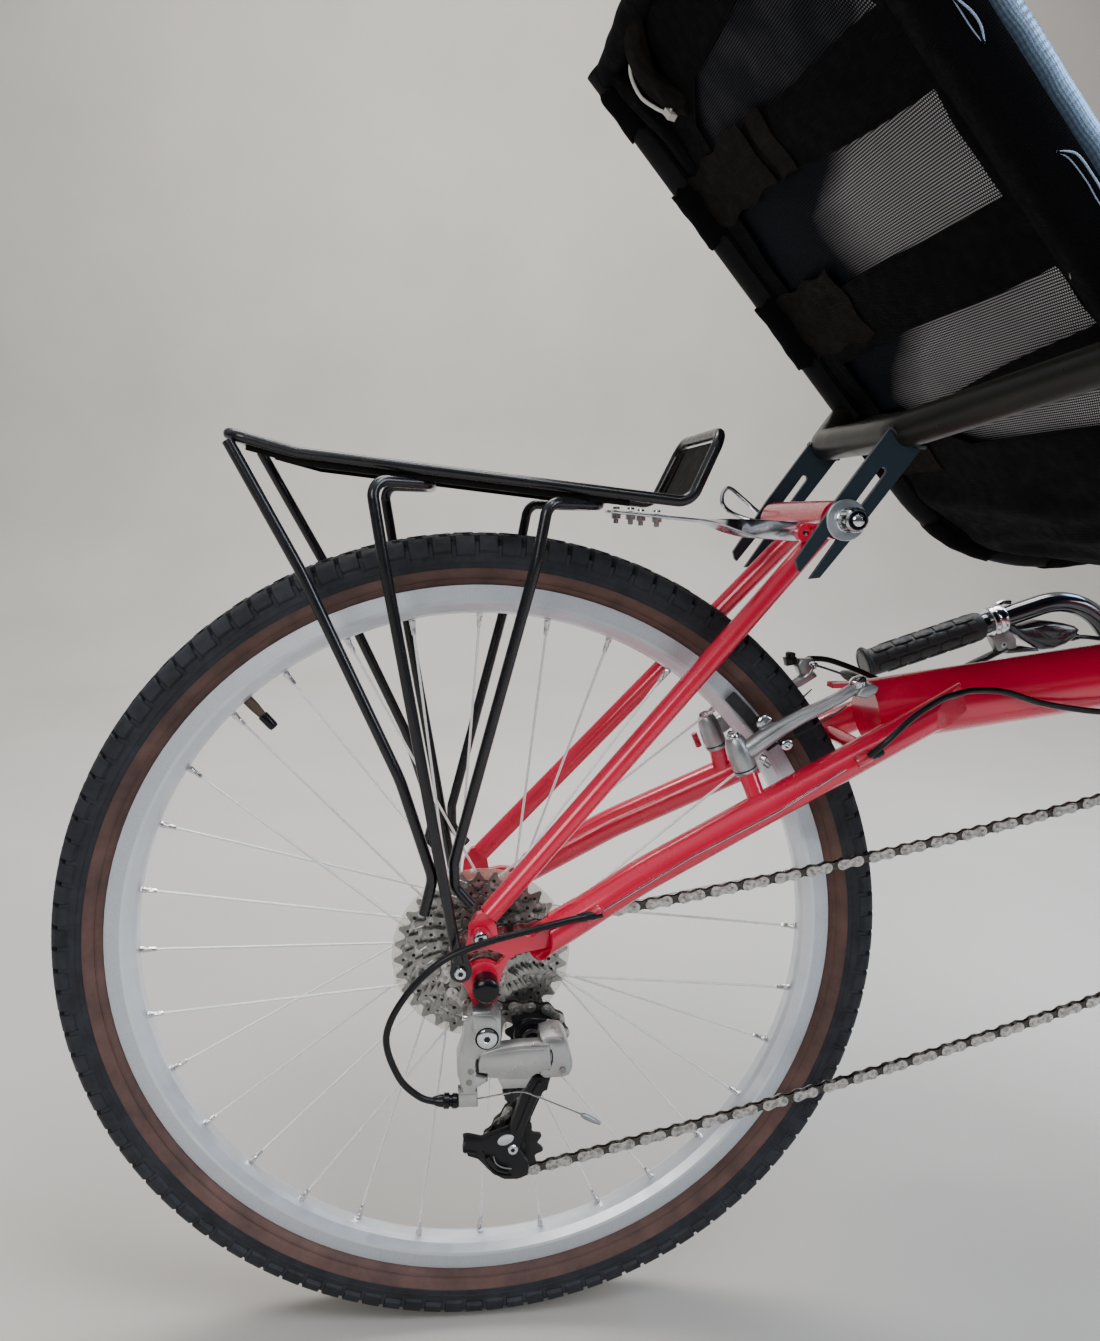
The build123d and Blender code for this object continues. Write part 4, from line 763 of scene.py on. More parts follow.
COGS = (32, 28, 24, 21, 18, 16, 14, 12, 11)
pc = Piece("cassette_cogs", "cassette", "cassette_steel", [CASSETTE, COG_TIP, COG_DARK_AND_SHADE], 25)
for i, teeth in enumerate(COGS):
    y = -27.3 - 4.34 * i
    pr = 6.35 / sin(pi / teeth)
    nxt = 6.35 / sin(pi / COGS[i + 1]) if i + 1 < len(COGS) else 16
    inner = max(nxt - 9.0, 15.0) if i < 4 else 14.5
    # teeth on a bright band, a darker web inside it, one small face step between them
    outer = tooth_outline((0, 0), teeth, pr, 7.0 * i + 3)
    band = [pol((0, 0), pr - 5.0, degrees(atan2(z, x))) for x, z in outer]
    ring_plate(pc, outer, band, y - 0.95, y + 0.95, 1)
    web = [pol((0, 0), inner, degrees(atan2(z, x))) for x, z in outer]
    ring_plate(pc, band, web, y - 0.55, y + 0.95, 0)
    # every other tooth of the big cogs has a bevelled ramp, pressed hollows and rivets below them; the hollows are dark
    # discs on the cog's face, painted shade
    if teeth > 13:
        for q in range(teeth):
            a = 7.0 * i + 3 + 360.0 / teeth * q
            px, pz = pol((0, 0), pr - 4.6, a)
            if (q + i) % 3 != 0:
                lathe(pc, (px, y - 0.96, pz), (0, -1, 0), [(0, 1.5 if q % 2 else 1.15), (0.06, 1.45 if q % 2 else 1.1),
                                                            (0.06, 0.1)], 8, 2)
            else:
                t0, t1 = pol((0, 0), pr - 5.2, a - 2.2), pol((0, 0), pr - 1.2, a + 2.6)
                tube(pc, [(t0[0], y - 0.9, t0[1]), (t1[0], y - 0.9, t1[1])], 0.75, 5, 0)
            if teeth > 16 and q % 2 == 0:
                px, pz = pol((0, 0), pr - 8.4, a + 180.0 / teeth)
                lathe(pc, (px, y - 0.56, pz), (0, -1, 0), [(0, 1.35), (0.05, 1.3), (0.05, 0.1)], 8, 2)
    # dark spacer ring behind each cog
    if i < 8:
        lathe(pc, (0, y - 0.95, 0), (0, -1, 0), [(0, 14.6), (0, min(inner + 4.0, nxt - 6.5)), (2.4, min(inner + 4.0, nxt - 6.5)),
                                                (2.4, 14.6)], 40, 2)
    # spider arms seen between the big cogs
    if i < 4:
        for q in range(5):
            a = 72 * q + 12 * i
            p0, p1 = pol((0, 0), 15, a), pol((0, 0), max(inner, 16) + 3, a + 10)
            dx, dz = p1[0] - p0[0], p1[1] - p0[1]
            L = hypot(dx, dz)
            nx, nz = -dz / L * 4, dx / L * 4
            plate(pc, [(p0[0] + nx, p0[1] + nz), (p0[0] - nx, p0[1] - nz), (p1[0] - nx * .7, p1[1] - nz * .7),
                       (p1[0] + nx * .7, p1[1] + nz * .7)], y - 0.5, y + 0.9, 0)
# lock ring and splined barrel
lathe(pc, (0, -64.6, 0), (0, 1, 0), [(0, 9.2), (0, 15.8), (0.8, 16.4), (2.2, 16.4), (2.2, 15.2), (38.2, 15.2), (38.2, 9.2)],
      36, 0)
# dark dots on the lock ring's face stand in for its notches: painted shade
for q in range(24):
    px, pz = pol((0, 0), 13.2, 15 * q)
    lathe(pc, (px, -64.7, pz), (0, -1, 0), [(0, 0.8), (0.3, 0.8), (0.3, 0.1)], 6, 2)
pc.build(weld=False, replaces=("cassette",))

BB = (1250.0, 337.18)
RINGS = ((32, -41.0, 60.0 - 7), (42, -47.5, 72.0), (52, -54.0, 92.0))
pc = Piece("chainring_teeth", "crank", "crank_alloy", [CHAIN_OUT, CRANK, CHROME], 25)
for teeth, y, r_in in RINGS:
    sprocket(pc, BB, teeth, y, 2.1, 6.35 / sin(pi / teeth) - 5.4, phase=4.0)
for q in range(5):
    a = 90 + 72 * q
    for rr, y in ((58.0, -57.0), (36.0, -42.8)):
        bx, bz = pol(BB, rr if rr > 40 else 36.5, a)
        lathe(pc, (bx, -55.2, bz), (0, -1, 0), [(0, 5.2), (1.6, 5.2), (2.4, 4.4), (2.4, 2.6), (1.2, 2.6), (1.2, 0.1)], 14, 2)
for s in (-1, 1):
    lathe(pc, (BB[0], s * 71.0, BB[1]), (0, s, 0), [(0, 9.5), (1.4, 9.5), (2.2, 8.2), (2.2, 4.2), (0.6, 4.2), (0.6, 0.1)],
          20, 2)
pc.build(weld=False)

GUIDE, TENSION = (40.5, -53.5), (27.0, -147.0)
pc = Piece("jockey_wheel_teeth", "frame", "black_plastic", [PLASTIC, CHROME, DARK_STEEL], 25)
for c, ph in ((GUIDE, 10.0), (TENSION, 24.0)):
    outer = tooth_outline(c, 11, 21.8, ph, top=1.0, root=3.4)
    inner = [pol(c, 8.0, degrees(atan2(z - c[1], x - c[0]))) for x, z in outer]
    ring_plate(pc, outer, inner, -54.5, -52.1, 0)
    lathe(pc, (c[0], -57.2, c[1]), (0, 1, 0), [(0, 3.06), (0, 7.6), (1.0, 8.6), (7.0, 8.6), (8.0, 7.6), (8.0, 3.06)], 22, 2)
pc.build(weld=False, replaces=("jockey_wheels",))

# ---------------------------------------------------------------------------
# Chain: outer and inner plates, rollers and pins along the real line
# ---------------------------------------------------------------------------
COG_R, PULLEY_R, RING_R, CHAIN_Y, RING_Y = 28.54, 22.5, 64.8, -53.3, -41.0
TOP_REAR, TOP_FRONT, LOW_REAR, LOW_FRONT = 98.4, 115.0, -77.5, -62.9


def on(c, r, a, y):
    x, z = pol(c, r, a)
    return Vector((x, y, z))


def circle3(p, q, r):
    """Centre (x, z) and radius of the circle through three points."""
    ax, az, bx, bz, cx, cz = p.x, p.z, q.x, q.z, r.x, r.z
    d = 2 * (ax * (bz - cz) + bx * (cz - az) + cx * (az - bz))
    ux = ((ax * ax + az * az) * (bz - cz) + (bx * bx + bz * bz) * (cz - az) + (cx * cx + cz * cz) * (az - bz)) / d
    uz = ((ax * ax + az * az) * (cx - bx) + (bx * bx + bz * bz) * (ax - cx) + (cx * cx + cz * cz) * (bx - ax)) / d
    return (ux, uz), hypot(ax - ux, az - uz)


def sag_run(p, q, a, b, n):
    """Points of the hanging run between p and q, on one arc, y changing evenly."""
    dx, dz = q.x - p.x, q.z - p.z
    length = hypot(dx, dz)
    sag = length / 2 * tan(radians(b - a) / 4)
    mid = Vector(((p.x + q.x) / 2 + dz / length * sag, (p.y + q.y) / 2, (p.z + q.z) / 2 - dx / length * sag))
    c, r = circle3(p, mid, q)
    a0, a1 = atan2(p.z - c[1], p.x - c[0]), atan2(q.z - c[1], q.x - c[0])
    out = []
    for i in range(n + 1):
        t = i / n
        ang = a0 + (a1 - a0) * t
        out.append(Vector((c[0] + r * cos(ang), p.y + (q.y - p.y) * t, c[1] + r * sin(ang))))
    return out


def arc_pts(c, r, a0, a1, y, n=40):
    return [on(c, r, a0 + (a1 - a0) * i / n, y) for i in range(n + 1)]


phi1, d1 = degrees(atan2(GUIDE[1], GUIDE[0])), hypot(*GUIDE)
LEAVE_COG = phi1 - degrees(acos((COG_R + PULLEY_R) / d1))
dx2, dz2 = TENSION[0] - GUIDE[0], TENSION[1] - GUIDE[1]
LEAVE_GUIDE = degrees(atan2(dz2, dx2)) + degrees(acos(2 * PULLEY_R / hypot(dx2, dz2)))
line = sag_run(on((0, 0), COG_R, TOP_REAR, CHAIN_Y), on(BB, RING_R, TOP_FRONT, RING_Y), TOP_REAR - 90, TOP_FRONT - 90, 200)
line = [p for p in line]
ringpart = arc_pts(BB, RING_R, TOP_FRONT, LOW_FRONT, RING_Y, 60)
lowpart = sag_run(on(TENSION, PULLEY_R, LOW_REAR, CHAIN_Y), on(BB, RING_R, LOW_FRONT, RING_Y), LOW_REAR + 90,
                  LOW_FRONT + 90, 200)
tens = arc_pts(TENSION, PULLEY_R, LEAVE_GUIDE + 180, LOW_REAR + 360, CHAIN_Y, 40)
gd = arc_pts(GUIDE, PULLEY_R, LEAVE_COG + 180, LEAVE_GUIDE, CHAIN_Y, 30)
cog = arc_pts((0, 0), COG_R, TOP_REAR, LEAVE_COG + 360, CHAIN_Y, 60)
loop = line + ringpart[1:] + list(reversed(lowpart))[1:] + list(reversed(tens))[1:] + list(reversed(gd)) \
    + list(reversed(cog))[:-1]
cum = [0.0]
for i in range(len(loop)):
    cum.append(cum[-1] + (loop[(i + 1) % len(loop)] - loop[i]).length)
total = cum[-1]
links = int(round(total / 12.7 / 2)) * 2
pitch = total / links


def at_len(s):
    s %= total
    lo, hi = 0, len(cum) - 1
    while hi - lo > 1:
        mid = (lo + hi) // 2
        if cum[mid] <= s:
            lo = mid
        else:
            hi = mid
    t = (s - cum[lo]) / (cum[lo + 1] - cum[lo])
    return loop[lo % len(loop)].lerp(loop[(lo + 1) % len(loop)], t)


pins = [at_len(i * pitch + 5.0) for i in range(links)]


def link_outline(L, r, waist, n=7):
    """Side plate outline about its two pins, in local (u, v)."""
    out = []
    for i in range(n + 1):
        a = radians(110 - 220 * i / n)
        out.append((L + r * cos(a), r * sin(a)))
    out.append((L / 2, -waist))
    for i in range(n + 1):
        a = radians(-70 - 220 * i / n)
        out.append((r * cos(a), r * sin(a)))
    out.append((L / 2, waist))
    return out


pc = Piece("chain_links", "frame", "chain_steel", [CHAIN_OUT, CHAIN_IN], 30)
for i in range(links):
    p, q = pins[i], pins[(i + 1) % links]
    u = (q - p)
    L = u.length
    u.normalize()
    y = Vector((0, 1, 0))
    y = (y - u * u.dot(y)).normalized()
    w = u.cross(y)
    outer = i % 2 == 0
    outl = link_outline(L, 4.25 if outer else 4.1, 2.75 if outer else 2.6)
    for s in (-1, 1):
        y0, y1 = (1.95, 2.75) if outer else (1.12, 1.92)
        lo, hi = (s * y0, s * y1)

        def at(a, b, c2, p=p, u=u, w=w, y=y):
            return p + u * a + w * c2 + y * b
        plate(pc, outl, lo, hi, 0 if outer else 1, at)
    # pin with a peened head, and roller
    lathe(pc, p - y * 3.0, y, [(0, 1.2), (0.25, 1.75), (5.75, 1.75), (6.0, 1.2)], 8, 0)
    lathe(pc, p - y * 1.15, y, [(0, 3.8), (2.3, 3.8)], 10, 1)
pc.build(weld=False, replaces=("chain_upper", "chain_lower", "chain_ring_wrap", "chain_cog_loop"))

# ---------------------------------------------------------------------------
# Rear derailleur: knuckles, blank link, covers, cage, bolts and cable end
# ---------------------------------------------------------------------------
def bevelled(pc, outline, y0, y1, edge=1.2, mat=0, face=None):
    """Plate with a chamfer towards y0 (its visible side); the outline is shrunk about its centre line."""
    k = len(outline)
    cx = sum(x for x, z in outline) / k
    cz = sum(z for x, z in outline) / k
    area2 = sum(outline[i][0] * outline[(i + 1) % k][1] - outline[(i + 1) % k][0] * outline[i][1] for i in range(k))
    turn = 1 if area2 > 0 else -1

    def inset(d):
        out = []
        for i in range(k):
            p, q, r = Vector(outline[i - 1]), Vector(outline[i]), Vector(outline[(i + 1) % k])
            n1 = Vector((-(q - p).y, (q - p).x)).normalized() * turn
            n2 = Vector((-(r - q).y, (r - q).x)).normalized() * turn
            m_ = (n1 + n2)
            m_ = m_.normalized() if m_.length > 1e-6 else n1
            c_ = max(m_.dot(n1), 0.5)
            out.append(q + m_ * d / c_)
        return out
    sgn = 1 if y1 > y0 else -1
    levels = [(0.0, y1), (0.0, y0 + sgn * edge), (edge * 0.35, y0 + sgn * edge * 0.35), (edge, y0)]
    verts = []
    for d, y in levels:
        verts += [(v.x, y, v.y) for v in inset(d)]
    faces = [tuple(range(k)), tuple(reversed(range(3 * k, 4 * k)))]
    for lv in range(3):
        o = lv * k
        faces += [(o + i, o + (i + 1) % k, o + k + (i + 1) % k, o + k + i) for i in range(k)]
    pc.add(verts, faces, mat)


def arc_band(pc, c, r0, r1, a0, a1, y0, y1, mat, k=14):
    pts = [pol(c, r1, a0 + (a1 - a0) * i / k) for i in range(k + 1)] + [pol(c, r0, a1 - (a1 - a0) * i / k)
                                                                       for i in range(k + 1)]
    plate(pc, pts, y0, y1, mat)


def socket_bolt(pc, p, d, r, h, mat_head, mat_socket_shade, socket=None):
    """Round head with a rolled edge; the hexagon socket is a dark disc set just under the head's face, painted shade in
    the socket.
    """
    socket = socket or r * 0.5
    lathe(pc, p, d, [(0, r * 0.96), (0, r), (h * 0.7, r), (h, r * 0.86), (h, socket * 1.12), (h - 0.25, socket * 1.02)], 24,
          mat_head)
    q = Vector(p) + Vector(d).normalized() * (h - 0.35)
    lathe(pc, q, d, [(0, 0.1), (0.14, socket), (0.2, socket), (0.2, 0.1)], 6, mat_socket_shade)


BK = [(-8.6, -14.3), (6.2, -14.4), (10.6, -17.5), (12.6, -22.2), (13.2, -33.0), (12.2, -41.5), (6.8, -45.5), (-0.2, -47.8),
      (-4.0, -53.6), (-4.2, -62.9), (3.3, -64.9), (3.4, -70.0), (-4.4, -74.8), (-4.2, -87.7), (-17.2, -87.2), (-15.4, -74.7),
      (-18.7, -64.1), (-19.3, -52.2), (-15.9, -40.5), (-13.8, -27.2), (-11.6, -18.9)]
LINK = [(-2.6, -47.7), (2.0, -44.5), (8.0, -42.6), (14.5, -41.5), (27.0, -40.4), (39.6, -40.2), (47.5, -41.0), (49.0, -50.0),
        (49.6, -59.8), (40.2, -62.9), (32.4, -67.7), (18.0, -67.4), (4.0, -65.7), (2.4, -62.3), (-3.6, -61.2), (-4.2, -54.0)]
UNDER = [(9.5, -66.5), (36.5, -67.4), (31.4, -77.0), (14.7, -77.2)]
PK = [(41.5, -38.0), (49.4, -36.1), (57.4, -37.7), (61.0, -42.0), (63.3, -48.1), (65.5, -56.8), (65.6, -62.5), (63.7, -67.6),
      (59.2, -69.5), (44.8, -69.8), (40.7, -66.2), (41.0, -48.0)]
COVER = [(23.5, -45.5), (24.4, -42.0), (26.6, -39.0), (30.0, -36.4), (33.9, -35.1), (38.0, -34.4), (42.0, -34.8),
         (46.4, -35.6), (50.3, -37.3), (53.2, -40.6), (54.6, -44.8), (54.2, -48.6), (52.3, -51.8), (42.6, -55.3),
         (31.1, -54.9), (26.6, -53.8), (24.5, -51.7), (23.4, -48.5)]
CAGE_ARM = [(36.8, -85.7), (38.6, -79.0), (47.6, -80.5), (50.8, -84.0), (50.5, -90.7), (43.7, -96.7), (40.6, -104.6),
            (37.2, -114.0), (33.6, -123.3), (31.3, -131.5), (21.2, -127.6), (24.2, -115.5), (26.6, -107.6), (30.5, -96.2)]
PLATE_LOW = [(-13.2, -129.2), (-9.6, -128.5), (-4.4, -129.8), (0.8, -131.3), (8.1, -128.4), (14.5, -126.0), (21.2, -123.6),
             (27.6, -125.2), (31.3, -129.5), (30.3, -140.3), (34.3, -147.8), (37.2, -152.5), (37.8, -156.6), (37.4, -160.8),
             (33.5, -163.2), (28.8, -164.4), (18.8, -164.4), (14.0, -162.6), (9.6, -159.7), (6.0, -156.2), (3.3, -151.7),
             (-1.5, -144.6), (-9.7, -142.4), (-12.4, -142.6), (-13.4, -138.6), (-11.5, -134.7)]
pc = Piece("derailleur_detail", "frame", "silver_alloy", [SILVER, CAP_BLACK, CHROME, BLACK_STEEL, SILVER_DARK, CABLE,
                                                           FERRULE_GREY], 32)
bevelled(pc, BK, -90.4, -74.0, 2.6, 0)
bevelled(pc, [(-9.5, -16.5), (5.6, -16.5), (9.4, -22.0), (9.0, -31.0), (-8.0, -31.0)], -91.3, -88.0, 1.8, 0)
bevelled(pc, LINK, -92.0, -82.0, 1.7, 0)
bevelled(pc, [(0.6, -48.2), (8.6, -45.9), (27.0, -43.6), (44.8, -43.9), (46.4, -58.0), (38.6, -60.2), (31.2, -64.4),
              (18.0, -64.2), (5.8, -62.4), (4.2, -59.4), (0.2, -58.2)], -92.5, -91.0, 0.4, 0)
bevelled(pc, UNDER, -88.0, -80.0, 1.6, 0)
bevelled(pc, PK, -90.0, -63.2, 4.0, 0)
arc_band(pc, (34.0, -52.0), 15.6, 16.6, -34, 24, -90.6, -89.0, 1)
# pivot dimples, drawn as darker discs (painted shade), and the dark joint line between body and outer link
for x, z in ((-9.0, -60.5), (-10.2, -69.0), (58.0, -62.0)):
    lathe(pc, (x, -90.3, z), (0, -1, 0), [(0, 2.5), (0.5, 2.4), (0.7, 1.2), (0.7, 0.1)], 14, 4)
tube(pc, [(-4.6, -90.6, -51.0), (-4.8, -90.6, -56.0), (-4.2, -90.6, -62.0), (2.6, -90.6, -64.2)], 0.5, 6, 1)
# mounting bolt: black groove, silver head, socket
lathe(pc, (2.1, -90.2, -34.7), (0, -1, 0), [(0, 9.4), (0.9, 9.4), (1.0, 8.7), (1.0, 0.1)], 32, 0)
lathe(pc, (2.1, -91.1, -34.7), (0, -1, 0), [(0, 8.6), (0.35, 8.6), (0.35, 7.4), (0.1, 7.4)], 32, 1)
socket_bolt(pc, (2.1, -91.0, -34.7), (0, -1, 0), 7.2, 1.9, 2, 1, 2.4)
# upper pulley cover with a silver arc, guide wheel bolt
bevelled(pc, COVER, -66.0, -63.0, 1.4, 1)
arc_band(pc, (37.8, -51.5), 6.6, 9.2, 22, 158, -67.0, -65.6, 2)
arc_band(pc, (37.8, -50.0), 12.0, 12.8, 30, 150, -66.4, -65.6, 3)
# black cage outer plate: arm, lower plate with a slot, blank oval, bolt
bevelled(pc, CAGE_ARM, -68.0, -61.0, 1.5, 3)
bevelled(pc, PLATE_LOW, -67.0, -61.0, 1.3, 3)
tube(pc, smooth_line([(44.0, -68.2, -84.0), (38.0, -68.4, -96.0), (32.6, -68.3, -112.0), (28.2, -68.0, -124.0)], 4), 1.6, 8, 3)
slot = smooth_line([(5.4, -67.1, -145.0), (8.6, -67.1, -150.4), (13.8, -67.1, -155.2), (21.3, -67.1, -157.6)], 5)
tube(pc, slot, 2.3, 8, 1)
tube(pc, smooth_line([(10.2, -69.2, -143.6), (12.0, -69.2, -149.6), (17.2, -69.2, -153.4), (24.0, -69.2, -154.8)], 5), 0.55, 6, 4)
tube(pc, smooth_line([(2.2, -67.3, -141.0), (6.4, -67.3, -152.6), (13.6, -67.3, -160.4), (24.0, -67.3, -162.4)], 5), 0.7, 6, 3)
# hollow end of the cage's tail
for z in (-131.0, -139.8):
    tube(pc, [(-13.0, -66.6, z), (-3.0, -66.9, z - (1.0 if z > -135 else 2.0))], 1.1, 6, 3)
oval = []
for i in range(20):
    a = 2 * pi * i / 20
    u_, v_ = 6.6 * cos(a), 4.3 * sin(a)
    oval.append((19.2 + u_ * cos(0.42) - v_ * sin(0.42), -131.6 + u_ * sin(0.42) + v_ * cos(0.42)))
bevelled(pc, oval, -67.7, -66.5, 0.4, 2)
socket_bolt(pc, (24.8, -66.8, -139.6), (0, -1, 0), 4.0, 2.4, 2, 1, 1.7)
socket_bolt(pc, (42.5, -67.8, -73.5), (0, -1, 0), 3.6, 2.0, 2, 1, 1.5)
# cable clamp bolt, bare cable and crimp
lathe(pc, (21.2, -80.0, -84.0), (0, 0, 1), [(-5.2, 3.8), (-5.2, 4.8), (-2.2, 4.8), (-1.4, 6.2), (2.0, 6.6), (4.0, 5.4), (7.5, 4.6)],
      16, 3)
tube(pc, smooth_line([(-4.0, -86, -84.8), (8.0, -86, -83.0), (14.5, -86, -81.9), (28.5, -86, -80.4), (41.4, -86, -85.4),
                      (72.6, -86.5, -99.7), (76.0, -86.8, -101.4)], 4), 0.62, 6, 2)
lathe(pc, (73.5, -86.6, -100.2), Vector((15.0, -0.4, -8.1)), [(0, 1.0), (1.0, 1.9), (5, 2.3), (11, 2.1), (16.5, 1.2)], 12, 6)
# stop block and ribbed adjuster boot
bevelled(pc, [(-18.0, -77.0), (-4.0, -77.0), (-3.6, -88.6), (-17.6, -88.6)], -91.0, -79.5, 1.4, 0)
lathe(pc, (-17.4, -85.0, -86.4), (-1, 0.02, 0.03), [(0, 4.4), (1.5, 5.4), (4.5, 5.4), (5.2, 4.3), (6.4, 4.3), (7.0, 5.7), (10.5, 5.7),
                                                 (11.2, 4.6), (13.5, 4.4), (16.5, 3.6), (19, 2.7)], 12, 1)
# adjusting screw
socket_bolt(pc, (-12.6, -84, -22.0), (-1, -0.2, 0.15), 2.2, 3.0, 2, 1, 1.0)
pc.build(weld=False, replaces=("rear_derailleur",))

# dropout bolts, axle cap, ferrules, bare shift cable, tube mouth
pc = Piece("frame_fittings", "frame", "chrome_hardware", [CHROME, CAP_BLACK, CABLE, RED_WELD, DARK_STEEL, RACK, SILVER], 35)
socket_bolt(pc, (-3.1, -78.4, 36.1), (0, -1, 0), 5.3, 3.2, 0, 1, 2.2)
lathe(pc, (-3.1, -75.4, 36.1), (0, -1, 0), [(0, 7.4), (2.8, 7.2), (3.0, 0.1)], 24, 3)
for sy in (-1, 1):
    socket_bolt(pc, (-17.3, sy * 78.0, 9.6), (0, sy, 0), 4.4, 2.8, 0, 1, 2.0)
    lathe(pc, (1.0, sy * 81.9, -1.0 if sy < 0 else 0), (0, sy, 0), [(0, 9.6), (0.6, 9.9), (4.6, 9.4), (6.4, 7.4), (6.9, 4.5), (6.9, 0.1)],
          28, 1)
tube(pc, [(85.2, -82.0, 57.6), (150, -74.5, 94.2), (215, -66.5, 125.0), (270, -58.5, 156.2)], 0.75, 8, 0)
for p_, d_ in (((78.0, -82.2, 54.0), (-0.94, -0.05, -0.16)), ((286.6, -57.0, 165.4), (0.88, -0.03, 0.30))):
    lathe(pc, p_, d_, [(-1, 2.2), (-1, 3.5), (2, 3.7), (9, 3.5), (10.5, 3.1), (12.5, 2.9)], 14, 2)
for c_, d_ in (((72.5, -81.0, 51.0), (0.86, 0.1, 0.5)), ((279.0, -56.0, 161.0), (0.87, 0.0, 0.48))):
    lathe(pc, c_, d_, [(-0.4, 2.0), (-0.4, 4.4), (1.0, 4.8), (11.0, 4.8), (12.4, 4.2), (12.4, 1.8)], 18, 3)
# strut bolts with nuts and washers
for x, y, z in ((106.0, -14, 341.0), (126.0, -14, 339.6), (100.0, 14, 341.3), (119.5, 14, 340.1)):
    lathe(pc, (x, y, z + 2.2), (0, 0, -1), [(0, 1.6), (1.2, 1.6), (1.2, 4.6), (2.3, 4.6)], 20, 6)
    lathe(pc, (x, y, z + 2.2), (0, 0, -1), [(2.2, 2.0), (2.2, 3.9), (6.0, 3.9), (6.4, 3.3), (6.4, 2.0)], 6, 6)
    lathe(pc, (x, y, z + 2.2), (0, 0, -1), [(6.2, 2.0), (9.6, 2.0), (10.0, 1.3), (10.0, 0.1)], 12, 6)
    lathe(pc, (x, y, z + 3.4), (0, 0, 1), [(0, 2.8), (1.5, 2.6), (2.0, 1.5)], 12, 0)
# beads at the seat plates and the stay joints
for sy in (-1, 1):
    for y in (72.2, 77.8):
        pts = smooth_line([(274.5, sy * y, 405.4), (282.0, sy * y, 399.6), (292.0, sy * y, 394.4), (300.8, sy * y, 393.4)], 6)
        tube(pc, pts, 2.0, 8, 4, rs=[1.9 + 0.35 * sin(i * 1.9) for i in range(len(pts))])
pc.build(weld=False)

# ---------------------------------------------------------------------------
# Seat skewer: washer, stepped nut, lever loop
# ---------------------------------------------------------------------------
WASHER = worn("zinc_washer", (0.36, 0.41, 0.45), (0.50, 0.55, 0.60), 0.34, 0.5, 0.85, 120, 0.12, 700)
pc = Piece("seat_skewer_detail", "frame", "chrome_hardware", [WASHER, CHROME, CAP_BLACK, DARK_STEEL], 32)
cx, cz = 247.0, 341.0
for sy in (-1, 1):
    lathe(pc, (cx, sy * 66, cz), (0, sy, 0), [(0, 2.6), (0, 9.6), (0.6, 10.0), (6.4, 10.0), (7.0, 9.4), (7.0, 2.6)], 32, 3)
lathe(pc, (cx, -100, cz), (0, 1, 0), [(0, 2.0), (0, 2.5), (186, 2.5), (186, 2.0)], 16, 1)
lathe(pc, (cx, -77.0, cz), (0, -1, 0), [(0, 2.8), (0, 14.2), (0.5, 14.6), (2.0, 14.6), (2.4, 14.0), (2.4, 9.6), (2.4, 2.8)], 48, 0)
lathe(pc, (cx, -79.4, cz), (0, -1, 0), [(0, 3.0), (0, 8.6), (2.2, 8.6), (2.8, 7.7), (4.0, 7.7), (4.6, 8.5), (16.0, 8.5), (17.6, 7.9),
                                       (18.6, 7.0), (18.6, 3.0)], 40, 1)
lathe(pc, (cx, -97.9, cz), (0, -1, 0), [(0, 6.4), (0.3, 6.4), (0.3, 4.4), (0.1, 4.4)], 32, 2)
lathe(pc, (cx, -98.0, cz), (0, -1, 0), [(0, 4.4), (1.6, 4.2), (2.4, 3.0), (2.6, 0.1)], 24, 1)
for i in range(18):
    a = 2 * pi * i / 18
    tube(pc, [(cx + 8.5 * cos(a), -84.6, cz + 8.5 * sin(a)), (cx + 8.5 * cos(a), -93.5, cz + 8.5 * sin(a))], 0.42, 5, 2)
lathe(pc, (cx, 77.0, cz), (0, 1, 0), [(0, 2.8), (0, 9.6), (1.0, 10.0), (9.5, 10.0), (11.0, 9.0), (11.0, 0.1)], 32, 2)
loop3 = smooth_line([(244, 86, 343), (238, 92, 347), (228, 100, 357), (216, 104, 366.5), (210.5, 104, 362), (209.5, 101, 353),
                     (216, 96, 345.5), (229, 90, 340), (240, 86, 338)], 7)
tube(pc, loop3, 2.0, 10, 1, rs=[2.4 - 0.5 * sin(pi * i / (len(loop3) - 1)) for i in range(len(loop3))])
pc.build(weld=False, replaces=("seat_skewer",))

# ---------------------------------------------------------------------------
# Rear brake: crowned arms, pivot caps, pad bolts, springs, noodle and clamp
# ---------------------------------------------------------------------------
def limb(pc, rows, mat=0, n=14, ridge=0.25):
    """Crowned arm: rows of (x, y, z, half width, half depth); width lies in the x-z plane, depth along y."""
    verts, faces = [], []
    k = len(rows)
    for i, (x, y, z, hw, hd) in enumerate(rows):
        a0, a1 = rows[max(i - 1, 0)], rows[min(i + 1, k - 1)]
        d = Vector((a1[0] - a0[0], a1[1] - a0[1], a1[2] - a0[2])).normalized()
        side = d.cross(Vector((0, 1, 0))).normalized()
        up = side.cross(d).normalized()
        for j in range(n):
            a = 2 * pi * j / n
            ca, sa = cos(a), sin(a)
            rr = 1.0 / (abs(ca) ** 2.6 + abs(sa) ** 2.6) ** (1 / 2.6)
            verts.append(Vector((x, y, z)) + side * hw * rr * ca + up * hd * rr * sa)
    for i in range(k - 1):
        for j in range(n):
            j2 = (j + 1) % n
            faces.append((i * n + j, i * n + j2, (i + 1) * n + j2, (i + 1) * n + j))
    faces += [tuple(reversed(range(n))), tuple((k - 1) * n + j for j in range(n))]
    pc.add(verts, faces, mat)


